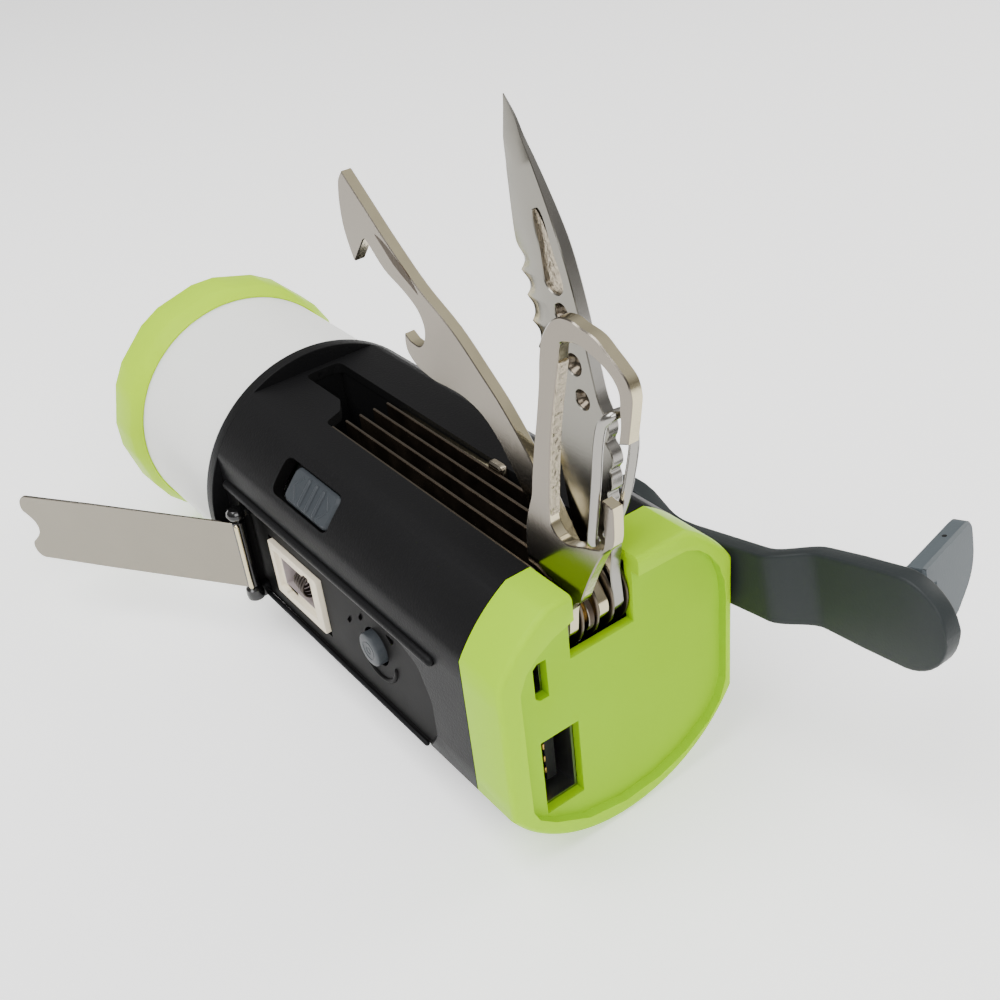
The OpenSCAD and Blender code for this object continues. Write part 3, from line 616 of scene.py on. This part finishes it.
soften(cap_solid, 0.28, 3)
settle(cap_solid, "body", "lime_cap", "end_cap")

# ---------------------------------------------------------------- lantern end
settle(lathe("diffuser_skin", [(21.6, 84.9), (23.2, 84.9), (23.4, 85.1), (23.4, 116.6), (23.4, 120.4),
    (21.6, 120.4)], "milky_plastic", TURN_Y, 128), "body", "milky_plastic", "diffuser")


def ring_loop(r, y, soft=0.0, round_r=None):
    """Twelve wide and twelve narrow flats, or a circle when soft is 1."""
    pts = []
    for i in range(12):
        for s0, s1 in ((-9.5, 9.5), (9.5, 20.5)):
            a, b = math.radians(15 + 30 * i + s0), math.radians(15 + 30 * i + s1)
            for k in range(5):
                t = k / 5
                x = r * (math.cos(a) * (1 - t) + math.cos(b) * t)
                z = r * (math.sin(a) * (1 - t) + math.sin(b) * t)
                if soft:
                    d = math.hypot(x, z)
                    q = (round_r or r)
                    x, z = x * (1 - soft) + x / d * q * soft, z * (1 - soft) + z / d * q * soft
                pts.append((x, y, z))
    return pts


ring = loft("lantern_ring_skin", [ring_loop(23.45, 120.6, 1, 23.45), ring_loop(23.45, 116.5, 1, 23.45),
    ring_loop(23.7, 116.52, 1, 23.75), ring_loop(24.9, 118.9, 0.5, 24.8),
    ring_loop(25.15, 119.6, 0.15, 25.0), ring_loop(25.25, 120.0), ring_loop(25.45, 126.3),
    ring_loop(25.3, 126.9), ring_loop(24.9, 127.3), ring_loop(24.3, 127.5, 0.3, 24.2),
    ring_loop(20.3, 127.5, 1, 20.3), ring_loop(20.0, 127.2, 1, 20.0), ring_loop(20.0, 120.6, 1, 20.0),
    ring_loop(23.45, 120.6, 1, 23.45)], "lime_ring", 20, caps=False)
settle(ring, "body", "lime_ring", "lantern_ring")

# ---------------------------------------------------------------- tools
TOOL_PIVOT = (4.0, 14.0)                    # y, z of the pin the tools share
KNIFE_UP, OPENER_UP, CARAB_UP = 79, 44, 103      # degrees each tool stands open at rest
PIN_HOLE = 1.25


def tool_matrix(x_mid, angle):
    c, s = math.cos(math.radians(angle)), math.sin(math.radians(angle))
    return frame_matrix((x_mid, *TOOL_PIVOT), Vector((0, c, s)), Vector((0, -s, c)), AXIS_X)


def rel(points, angle):
    """(dy, dz) from the pivot, turned back to the tool's own (u, v)."""
    c, s = math.cos(math.radians(angle)), math.sin(math.radians(angle))
    return [(p[0] * c + p[1] * s, -p[0] * s + p[1] * c, *p[2:]) for p in points]


def tang(a0, a1, r=3.6, n=9):
    """The tool's round root, from angle a0 to a1 about the pin."""
    turns = [math.radians(a0 + (a1 - a0) * k / n) for k in range(n + 1)]
    return [(r * math.cos(a), r * math.sin(a)) for a in turns]


SLOT = [-6.575, -3.7, -1.075, 1.675]        # x of carabiner, saw, opener, knife
C = 1                                       # marks a corner in an outline
# knife: plain edge, four scallops, ground bevel, deep-drawn recess and dimples
edge_rel = [(13.3, 68.1, C), (13.55, 65.4), (13.95, 62.0), (14.1, 59.1), (14.0, 56.1), (13.8, 52.2),
    (13.5, 49.5), (13.1, 48.7, C), (12.05, 47.7), (12.0, 46.9), (12.9, 45.5, C), (11.4, 44.5),
    (11.25, 43.5), (12.1, 42.2, C), (10.9, 41.3), (10.7, 40.1), (11.4, 38.7, C), (10.1, 37.9),
    (9.9, 36.6), (10.6, 35.2, C), (9.5, 34.1), (8.6, 30.0), (7.4, 24.0), (6.2, 16.0), (4.5, 6.0, C)]
spine_rel = [(-3.0, 2.0, C), (-3.3, 9.0), (-2.9, 15.2), (-3.4, 17.2), (-3.2, 18.6), (-4.1, 19.6),
    (-4.2, 21.4), (-3.9, 22.4), (-4.6, 23.6), (-4.2, 25.4), (-3.3, 26.4), (-3.9, 27.9), (-3.9, 29.2),
    (-3.2, 30.6), (-2.4, 32.0), (-1.8, 33.7), (-0.6, 38.5), (0.6, 43.5), (2.5, 49.5), (4.5, 54.0),
    (6.6, 57.9), (8.6, 61.2), (10.2, 63.6), (11.4, 65.9)]
KNIFE = rel(edge_rel, KNIFE_UP)
KNIFE_ALL = curve(KNIFE + [(p[0], p[1]) for p in tang(-75, -255, 3.1, 10)] + rel([(-2.7, 5.0),
    *spine_rel[1:]], KNIFE_UP), 4)


def knife_inner(loop):
    """The grind line: 4 mm in from the edge along the blade, meeting it at the tip."""
    base = inset(loop, 0.12)
    out = []
    for p, b in zip(loop, base):
        u, v = p
        if v < -0.5 and 33.0 < u < 69.3:
            t = min(1.0, max(0.0, (u - 33.0) / 5.0)) * min(1.0, (69.4 - u) / 9.0)
            line = -3.8 + 3.6 * t + (0.4 if u > 50 else 0)
            out.append((b[0], max(b[1], line)))
        else:
            out.append(b)
    return out


k_in = knife_inner(KNIFE_ALL)


def thin_tip(p):
    """The blade thins towards its point."""
    return max(0.12, min(1.0, 1 - (p[0] - 52.0) / 18.6))


k_edge = [(0.12 + 1.54 * max(0.0, 1 - math.hypot(a[0] - b[0], a[1] - b[1]) / 2.0)) * thin_tip(a)
          for a, b in zip(KNIFE_ALL, k_in)]
teardrop = curve(rel([(8.3, 54.9), (7.5, 55.2), (6.2, 53.6), (4.8, 50.4), (3.4, 47.0), (3.3, 45.9),
    (4.0, 45.0), (4.9, 44.8), (6.2, 45.2), (6.9, 46.2), (7.5, 50.6), (8.3, 53.8)], KNIFE_UP), 4)
DIMPLES = [(42.4, 4.2, 1.35), (35.6, 4.7, 1.5), (30.8, 5.1, 1.4)]
KNIFE_AT = tool_matrix(SLOT[3], KNIFE_UP)
slab("knife_blade", KNIFE_ALL, [circle(0, 0, PIN_HOLE), teardrop] + [circle(*d, 28) for d in DIMPLES],
    1.9, "blade_steel", "knife", "tool_steel", ("knife",), KNIFE_AT, edge_t=k_edge, inner=k_in,
    side_mat="pin_steel", hole_bevel=0.12, taper=thin_tip)
slab("knife_recess_floor", inset(teardrop, -0.25), [], 0.7, "rough_steel", "knife", "tool_steel", (),
    KNIFE_AT, bevel=0.05)
for d in DIMPLES:
    bowl = [(0.02, -0.5), (0.5, -0.44), (0.95, -0.1), (d[2] * 0.9, 0.45), (d[2] + 0.1, 0.9),
        (d[2] + 0.1, -0.9), (0.02, -0.9)]
    at = KNIFE_AT @ Matrix.Translation((d[0], d[1], 0)) @ Matrix.Rotation(math.pi, 4, "X")
    settle(lathe("knife_dimple", bowl, "liner_bright", at, 32), "knife", "tool_steel")

# opener: point, hook, nail nick (a flat dark sheet, painted shade for the groove) and claw
OPEN_REL = [(50.9, 51.1, C), (52.1, 49.8), (52.8, 47.8), (53.2, 44.9), (53.1, 41.9), (52.4, 39.3),
    (51.5, 37.0, C), (51.2, 36.9, C), (47.6, 41.2, C), (47.0, 41.5), (46.2, 41.0), (42.5, 37.9),
    (38.2, 36.1), (34.9, 34.2), (33.7, 32.4), (33.5, 30.9), (34.2, 28.9), (35.7, 27.7), (38.0, 27.8, C),
    (39.4, 28.6, C), (39.6, 27.0), (39.2, 25.5), (37.2, 24.0), (32.7, 23.1), (28.5, 23.3), (24.9, 23.2),
    (20.7, 22.0), (17.0, 19.0), (12.0, 12.0), (7.5, 5.0)]
OPEN_SPINE = [(9.4, 18.6), (15.2, 25.0), (19.6, 28.7), (26.0, 33.6), (33.8, 37.8), (41.1, 43.1),
    (45.9, 47.0)]
OPENER = curve([p for p in rel(OPEN_REL, OPENER_UP)] + tang(-75, -255, 3.1, 10) + [(4.5, 3.9),
    *rel(OPEN_SPINE, OPENER_UP)], 4)
nick = curve(rel([(43.9, 43.3), (42.2, 41.8), (39.6, 39.6), (36.0, 37.7), (33.6, 36.6), (35.5, 38.9),
    (38.6, 41.0), (41.5, 42.7)], OPENER_UP), 3)
slab("opener_blade", OPENER, [circle(0, 0, PIN_HOLE)], 1.9, "tool_steel", "opener", "tool_steel",
    ("bottle_opener",), tool_matrix(SLOT[2], OPENER_UP), bevel=0.15, side_mat="spine_steel")
# the nail nick is a thin darker sheet flush with the face: painted shade for the groove
slab("opener_nick_shade", nick, [], 0.24, "liner_steel", "opener", "tool_steel", (),
    tool_matrix(SLOT[2] - 0.85, OPENER_UP), bevel=0.08)

# carabiner frame
CAR_OUT = [(2.2, 22.4), (1.2, 27.3), (-0.1, 32.9), (-1.2, 38.2), (-1.7, 41.5), (-2.5, 44.4), (-4.4, 47.1),
    (-6.2, 48.3), (-8.3, 48.6), (-9.7, 48.3), (-12.6, 47.8), (-14.7, 46.5), (-16.5, 45.3), (-17.8, 44.2),
    (-18.4, 42.4), (-18.3, 40.9), (-17.4, 35.9, C), (-15.7, 35.2, C), (-16.2, 38.0), (-16.2, 40.0),
    (-16.2, 42.0), (-15.6, 43.2), (-14.3, 44.3), (-12.4, 45.1), (-9.5, 45.8), (-7.1, 45.4), (-6.0, 44.7),
    (-5.3, 41.9), (-4.5, 38.8), (-3.2, 33.5), (-2.3, 28.8), (-1.6, 23.9), (-0.9, 17.3), (-1.5, 16.0),
    (-2.7, 15.1), (-4.6, 15.1), (-7.5, 16.3), (-9.7, 17.1), (-11.6, 18.2), (-12.1, 20.5), (-11.9, 24.0),
    (-12.0, 25.6, C), (-13.9, 25.3, C), (-14.0, 24.0), (-13.6, 19.6), (-11.4, 17.0), (-8.7, 12.0),
    (-6.2, 6.4, C), (-4.9, 5.3), (-3.7, 3.4)]
CARAB_AT = tool_matrix(SLOT[0], CARAB_UP)
CARAB = curve(rel(CAR_OUT, CARAB_UP) + tang(80, 278, 3.2, 10) + rel([(4.9, 7.5), (5.0, 11.1), (4.6, 14.0),
    (3.7, 16.9), (2.7, 19.6)], CARAB_UP), 4)
slab("carabiner_frame", CARAB, [circle(0, 0, PIN_HOLE)], 1.8, "tool_steel", "carabiner", "tool_steel",
    ("carabiner",), CARAB_AT, bevel=0.16, side_mat="spine_steel")
# rough stamped inner edge of the shank
rough = rel([(-5.55, 42.0), (-4.75, 38.8), (-3.45, 33.5), (-2.55, 28.8), (-1.85, 23.9), (-1.15, 17.9)],
    CARAB_UP)
strip = [(p[0], p[1]) for p in rough] + [(p[0], p[1] - 0.45) for p in rough[::-1]]
slab("stamped_edge", strip, [], 1.5, "rough_steel", "carabiner", "tool_steel", (), CARAB_AT, bevel=0.05)


def wire_path(points, steps=5):
    """A smooth open 3-D path."""
    p = [Vector(q) for q in points]
    p = [p[0] * 2 - p[1]] + p + [p[-1] * 2 - p[-2]]
    out = []
    for i in range(1, len(p) - 2):
        for k in range(steps):
            t = k / steps
            a, b, c, d = p[i - 1:i + 3]
            out.append(0.5 * ((2 * b) + (c - a) * t + (2 * a - 5 * b + 4 * c - d) * t * t
                              + (3 * b - a - 3 * c + d) * t ** 3))
    return out + [p[-2]]


# wire gate in one bent loop: (u, v, x) about the pivot
GATE = [(20.8, 5.9, -1.0), (20.8, 5.9, -1.45), (21.4, 5.88, -1.62), (24.0, 5.8, -1.65),
    (31.2, 5.35, -1.65), (36.0, 4.95, -1.65), (39.2, 5.0, -1.62), (40.6, 5.5, -1.4), (41.2, 5.85, -0.8),
    (41.2, 5.9, 0.2), (40.9, 6.1, 1.1), (40.0, 6.6, 1.55), (37.6, 7.3, 1.65), (35.3, 7.55, 1.65),
    (30.4, 7.5, 1.65), (27.1, 7.2, 1.65), (23.0, 6.4, 1.65), (21.3, 5.95, 1.6), (20.8, 5.9, 1.4),
    (20.8, 5.9, 1.0)]
settle(tube("gate_wire", wire_path(GATE, 4), 0.66, "pin_steel", 18, CARAB_AT), "gate", "pin_steel",
    "carabiner_gate")

# saw, folded in its slot
teeth = [(49 - 1.0 * k, -2.4 if k % 2 == 0 else -3.8, C) for k in range(40)]
SAW = [(52.2, 0.0, C), (50.4, -2.2, C)] + teeth + [(8.0, -2.8, C)] + [(p[0], p[1]) for p in tang(-75,
    -275, 3.6, 9)] + [(6.0, 2.7, C), (46.5, 2.6, C), (49.8, 1.8)]
slab("saw_blade", curve(SAW, 3), [circle(0, 0, PIN_HOLE)], 1.0, "tool_steel", "saw", "tool_steel",
    ("saw",), tool_matrix(SLOT[1], 0), bevel=0.1, side_mat="liner_steel")

# slim driver with its bent thumb nub
DRV = rounded([(61.7, 17.4, 0), (61.0, 15.4, 0), (58.5, 14.2, 0), (34.0, 14.6, 1), (30.0, 16.8, 1.2),
    (30.0, 20.2, 1), (34.5, 20.7, 0.6), (58.5, 20.6, 0), (61.0, 19.4, 0)], 1)
slab("driver_blade", DRV, [circle(58.5, 17.4, 0.85, 24)], 1.0, "tool_steel", "driver", "tool_steel",
    ("slim_driver",), side_on(3.95), bevel=0.12, side_mat="spine_steel")
nub = rounded([(29.7, 19.4), (33.3, 19.4), (33.3, 22.2), (29.7, 22.2)], 0.9)
slab("driver_nub", nub, [], 1.5, "tool_steel", "driver", "tool_steel", (), side_on(4.05),
     bevel=0.3, side_mat="rough_steel")

# liners and dividers
PLATE = []
for a in range(128, 262, 6):
    PLATE.append((7.5 + 7 * math.cos(math.radians(a)), 14.2 + 7 * math.sin(math.radians(a))))
PLATE = [(62.0, 21.2), (7.5, 21.2)] + PLATE + [(5.6, 3.4), (62.0, 3.4)]
PLATES_AT = {"left_liner": -7.95, "divider_a": -5.2, "divider_b": -2.45, "divider_c": 0.3,
    "right_liner": 3.05}
for node, x in PLATES_AT.items():
    slab(node + "_plate", PLATE, [circle(*TOOL_PIVOT, 1.2)], 0.5, "liner_steel", "body", "liner_steel",
        (node,), side_on(x), bevel=0.1, side_mat="liner_bright")

# ---------------------------------------------------------------- crank
CRANK_AXIS = (22.9, 3.2)          # y, z
CRANK_LEN = 51.5                  # axis to the middle of the arm's round end
END_R = 7.4                       # radius of that end
RISE = math.radians(10.9)         # the arm's slope at rest
CRANK = frame_matrix((0, *CRANK_AXIS), Vector((0, -math.cos(RISE), math.sin(RISE))),
                     Vector((0, -math.sin(RISE), -math.cos(RISE))), AXIS_X)


def arm_half(w):
    """Half-width of the arm at w from the hub."""
    if w < 9.0:
        return math.sqrt(max(0.0, 100 - w * w))
    if w > CRANK_LEN:
        return math.sqrt(max(0.0, END_R ** 2 - (w - CRANK_LEN) ** 2))
    s = [(9.0, 4.9), (14, 5.0), (29, 5.6), (37, 6.2), (44, 6.9), (CRANK_LEN, END_R)]
    for (a, p), (b, q) in zip(s, s[1:]):
        if w <= b:
            return p + (q - p) * (w - a) / (b - a)
    return END_R


def arm_shift(w):
    t = min(1, max(0, (w - 30.0) / 7.5))
    return 3.9 * t * t * (3 - 2 * t)


stations = [-10 + 10 * (1 - math.cos(math.radians(a))) for a in range(0, 90, 10)]
stations += [1, 3, 5, 7, 8.2, 8.9, 9.3, 10.2, 11.5, 14, *range(16, 50)]
stations += [CRANK_LEN + END_R * math.sin(math.radians(a)) for a in range(0, 91, 9)]


def fillet_half(w):
    h = arm_half(w)
    if 7.0 < w < 14.0:
        t = (w - 7.0) / 7.0
        h = max(h if w < 9 else 0, 5.0 + 2.1 * (1 - t) ** 3)
    return h


rings = []
for w in stations:
    h = max(0.02, fillet_half(w))
    x0, x1 = 22.5 + arm_shift(w), 25.5 + arm_shift(w)
    e = min(0.5, h * 0.5)
    sec = []
    for cx, cv, a0 in ((x1 - e, h - e, 0), (x0 + e, h - e, 90), (x0 + e, -h + e, 180),
            (x1 - e, -h + e, 270)):
        for k in range(4):
            a = math.radians(a0 + 30 * k)
            sec.append((w, cv + e * math.sin(a), cx + e * math.cos(a)))
    rings.append(sec)
arm = loft("crank_arm_skin", rings, "crank_slate", 40, CRANK)
bore = circle(0, 0, 2.52, 40)
cut(arm, loft("b1", [[(*p, 20) for p in bore], [(*p, 30) for p in bore]], "crank_slate", matrix=CRANK))
settle(arm, "crank", "crank_slate", "crank_arm")
lug = rounded([(-1.9, -1.4, 0), (0, -1.4, 1.4), (1.4, -1.4, 1.4), (1.4, 1.4, 1.4), (0, 1.4, 1.4),
    (-1.9, 1.4, 0)], 1.2)
KNOB_AT = CRANK @ Vector((CRANK_LEN, 0, 30.9))
LUG = frame_matrix(KNOB_AT, AXIS_X, CRANK.to_3x3() @ AXIS_X, CRANK.to_3x3() @ -AXIS_Y)
slab("knob_lug", lug, [], 6.2, "crank_slate", "crank", "crank_slate", (), LUG, bevel=0.2)
TILT = math.radians(13)           # how far the knob leans at rest
ex = Vector((math.cos(TILT), math.sin(TILT) * math.cos(RISE), -math.sin(TILT) * math.sin(RISE)))
ez_up = Vector((0, math.sin(RISE), math.cos(RISE)))
KNOB = frame_matrix(KNOB_AT, ex, ez_up, ex.cross(ez_up))
KN = rounded([(-0.9, -5.5, 0.3), (7.6, -5.5, 6.0), (14.4, -1.0, 7.5), (14.4, 7.0, 2.0), (-0.9, 7.0, 0.3),
    (-0.9, 3.3, 0.2), (1.8, 3.3, 0.2), (1.8, -3.3, 0.2), (-0.9, -3.3, 0.2)], 0.5, 7)
slab("knob_paddle", KN, [], 2.8, "knob_grey", "knob", "knob_grey", ("crank_knob",), KNOB, bevel=0.4)
# a flat black disc on the knob: painted shade standing in for a small hole
dot = frame_matrix(KNOB @ Vector((8.2, 6.93, 0.0)), ex, ex.cross(ez_up) * -1, ez_up)
settle(lathe("knob_hole_shade", [(0.02, 0.09), (0.3, 0.09), (0.36, 0.08), (0.36, 0.0), (0.02, 0.0)],
    "black_inner", dot, 24), "knob", "knob_grey")
settle(lathe("hub_screw", [(0.02, 25.5), (4.0, 25.5), (4.0, 26.2), (3.7, 26.55), (3.0, 26.7), (1.6, 26.7),
    (1.4, 26.3), (0.02, 26.3)], "crank_slate", side_on(0, *CRANK_AXIS), 48), "crank", "crank_slate",
    "crank_screw")

# ---------------------------------------------------------------- lighter side
housing = box_obj("housing_block", (-21.2, 52.1, -10.4), (-14.5, 69.1, 0.8), "ceramic_white")
cut(housing, box_obj("h1", (-30, 54.6, -8.7), (-20.4, 67.7, -0.8), "ceramic_white"),
    box_obj("h2", (-30, 55.6, -7.9), (-16.2, 66.7, -1.6), "mica"),
    box_obj("h3", (-30, 55.2, -1.9), (-18.5, 57.2, -0.2), "ceramic_white"),
    box_obj("h4", (-30, 62.8, -9.3), (-18.5, 65.6, -8.0), "ceramic_white"))
soften(housing, 0.22)
settle(housing, "body", "ceramic_white", "lighter_housing")
coil = []
for k in range(5 * 24 + 1):
    a = 2 * math.pi * k / 24
    rr = 2.2 - 0.12 * (k / 24)
    coil.append((-18.9 + rr * math.cos(a), 58.2 + 4.6 * k / 120, -4.8 + rr * math.sin(a)))
coil = [(-16.4, 57.6, -4.8), (-17.0, 57.9, -4.8)] + coil + [(-17.0, 63.4, -4.8), (-16.4, 63.6, -4.8)]
settle(tube("coil_winding", coil, 0.24, "coil_wire", 10), "body", "coil_wire", "lighter_coil")

BTN = frame_matrix((0, 34.8, -2.6), AXIS_Z, AXIS_Y, -AXIS_X)
settle(lathe("button_cap", [(0.02, 17.4), (4.2, 17.4), (4.2, 18.1), (2.95, 18.1), (2.95, 21.6),
    (2.85, 21.85), (2.6, 22.0), (1.75, 22.0), (1.65, 21.93), (1.5, 21.93), (1.4, 22.0), (0.75, 21.98),
    (0.65, 21.9), (0.5, 21.9), (0.4, 21.96), (0.02, 21.96)], "grey_plastic", BTN, 56), "button",
    "grey_plastic", "lighter_button")

# cover door: bent-over hinge eye, thin plate, finger notch
DOOR_PIN = (-23.3, 75.5, 0)
A = math.radians(146)      # how far the door stands open
along = Vector((-math.sin(A), -math.cos(A), 0))
DOOR = frame_matrix(DOOR_PIN, along, AXIS_Z, along.cross(AXIS_Z))
side = -0.9 if (Matrix.Rotation(-A, 3, "Z") @ Vector((0.9, 0, 0))).dot(along.cross(AXIS_Z)) < 0 else 0.9
lo, hi = -11.4, 2.8
notch = [(47.0, lo + 3.4), (46.2, lo + 4.2), (45.0, lo + 5.6), (44.6, (lo + hi) / 2), (45.0, hi - 5.6),
    (46.2, hi - 4.2), (47.0, hi - 3.4)]
plate = [(0.0, lo, C), (45.4, lo), (46.7, lo + 0.8), (47.2, lo + 2.2)] + notch + [(47.2, hi - 2.2),
    (46.7, hi - 0.8), (45.4, hi), (0.0, hi, C)]
slab("door_plate", curve(plate, 3), [], 0.6, "door_steel", "door", "door_steel", ("cover_door",),
    DOOR @ Matrix.Translation((0, 0, side)), bevel=0.1, side_mat="tool_steel")
EYE = frame_matrix(DOOR_PIN, AXIS_X, AXIS_Y, AXIS_Z)
settle(lathe("door_eye", [(0.76, lo), (1.2, lo), (1.3, lo + 0.1), (1.3, hi - 0.1), (1.2, hi), (0.76, hi)],
    "gloss_black", EYE, 40), "door", "door_steel")
settle(tube("door_rod", [(-24.15, 74.35, lo + 0.5 + (hi - lo - 1.0) * k / 6) for k in range(7)], 0.52,
    "spine_steel"), "door", "door_steel")
for z0, z1 in ((lo - 3.3, lo - 0.3), (hi + 0.3, hi + 2.5)):
    ball = lathe("hinge_ball", [(0.02, z0), (1.1, z0 + 0.05), (1.6, z0 + 0.5), (1.75, (z0 + z1) / 2),
        (1.6, z1 - 0.5), (1.1, z1 - 0.05), (0.02, z1)], "gloss_black", EYE, 40)
    settle(ball, "body", "casing")
    settle(box_obj("hinge_foot", (-23.2, 74.4, z0 + 0.25), (-19.6, 76.6, z1 - 0.25), "gloss_black", 0.3),
        "body", "casing")

# slide switch: eased cap with three ribs between two chevrons
RIB_Z = SIGN * 24.85


def on_switch(z):
    return SW @ Matrix.Translation((0, 0, SIGN * z))


cap_outline = rounded([(-3.05, 45.5), (3.05, 45.5), (3.05, 59.4), (-3.05, 59.4)], 1.5, 6)
slab("slider_cap", cap_outline, [], 2.7, "grey_plastic", "switch", "grey_plastic", ("slide_switch",),
    on_switch(23.55), bevel=0.5)
for y in (49.6, 51.9, 54.2):
    settle(tube("slider_rib", [(-2.05 + 4.1 * k / 6, y, RIB_Z) for k in range(7)], 0.42, "grey_plastic",
        14, SW), "switch", "grey_plastic")
for apex, way in ((46.9, 1), (57.6, -1)):
    path = [(-1.9, apex + way * 1.5, RIB_Z), (-0.15, apex + way * 0.1, RIB_Z),
        (0.15, apex + way * 0.1, RIB_Z), (1.9, apex + way * 1.5, RIB_Z)]
    settle(tube("slider_chevron", path, 0.17, "grey_plastic", 10, SW), "switch", "grey_plastic")
floor_lo, floor_hi = sorted((SIGN * 21.6, SIGN * 22.15))
well = box_obj("switch_floor", (-3.3, 45.1, floor_lo), (3.3, 62.7, floor_hi), "black_inner", matrix=SW)
settle(well, "body", "black_inner")

# plug contacts inside the sockets
for z in (-12.9, -10.6, -8.1, -5.8):
    settle(box_obj("usb_contact", (-11.72, 4.1, z - 0.55), (-11.4, 9.5, z + 0.55), "brass_part", 0.1),
        "body", "port_steel")

# ---------------------------------------------------------------- CAD nodes that stay in view or inside
for rec in frame["record"]["subparts"]:
    o = NODES.get(rec["node"])
    if o is None:
        continue
    o.data.materials.clear()
    o.data.materials.append(M[rec["material_slot"]])

# ---------------------------------------------------------------- stage, light, camera
floor_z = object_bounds()[0][2]
bpy.ops.mesh.primitive_plane_add(size=6.0, location=(0, 0, floor_z))
floor = bpy.context.object
floor.name = "floor"
fm = surface("floor_paper", (0.97, 0.97, 0.97), 0.9, grain=0.0001, grain_size=60, tint=0.002)
glow = fm.node_tree.nodes["Principled BSDF"]
glow.inputs["Emission Color"].default_value = (1, 1, 1, 1)
glow.inputs["Emission Strength"].default_value = 0.45
floor.data.materials.append(fm)

world = bpy.data.worlds.new("studio")
bpy.context.scene.world = world
world.use_nodes = True
wn = world.node_tree.nodes
wl = world.node_tree.links.new
bg = wn["Background"]
grad_co = wn.new("ShaderNodeTexCoord")
sep = wn.new("ShaderNodeSeparateXYZ")
ramp = wn.new("ShaderNodeValToRGB")
wl(grad_co.outputs["Generated"], sep.inputs["Vector"])
wl(sep.outputs["Z"], ramp.inputs["Fac"])
ramp.color_ramp.elements[0].position = 0.0
ramp.color_ramp.elements[0].color = (0.60, 0.59, 0.57, 1)
ramp.color_ramp.elements[1].position = 1.0
ramp.color_ramp.elements[1].color = (1.0, 1.0, 1.0, 1)
e = ramp.color_ramp.elements.new(0.25)
e.color = (0.30, 0.29, 0.28, 1)
wl(ramp.outputs["Color"], bg.inputs["Color"])
bg.inputs["Strength"].default_value = 0.95


def lamp(name, at, to, size, power, color=(1, 1, 1)):
    d = bpy.data.lights.new(name, "AREA")
    d.shape = "RECTANGLE"
    d.size, d.size_y = size
    d.energy = power
    d.color = color
    o = bpy.data.objects.new(name, d)
    bpy.context.scene.collection.objects.link(o)
    o.location = at
    o.rotation_euler = (Vector(to) - Vector(at)).to_track_quat("-Z", "Y").to_euler()
    return o


mid = (0.0, 0.05, 0.0)
lamp("key", (-0.35, 0.10, 0.75), mid, (0.6, 0.6), 9.0)
lamp("front", (-0.25, -0.75, 0.55), mid, (0.7, 0.5), 7.0)
lamp("side", (0.75, -0.10, 0.40), mid, (0.4, 0.6), 4.5, (1.0, 0.97, 0.92))

cam = bpy.data.cameras.new("camera")
cam.lens = 45.65
cam.sensor_width = 36.0
cam.clip_start = 0.01
cam_o = bpy.data.objects.new("camera", cam)
bpy.context.scene.collection.objects.link(cam_o)
az, el, roll = math.radians(33.103), math.radians(33.743), math.radians(-6.686)
look = Vector((math.sin(az) * math.cos(el), math.cos(az) * math.cos(el), -math.sin(el)))
right = Vector((math.cos(az), -math.sin(az), 0))
up = right.cross(look)
right2 = right * math.cos(roll) + up * math.sin(roll)
up2 = up * math.cos(roll) - right * math.sin(roll)
m = frame_matrix((0, 0, 0), right2, up2, -look)
m.translation = Vector((-86.883, -107.494, 126.182)) * MM
cam_o.matrix_world = m
bpy.context.scene.camera = cam_o
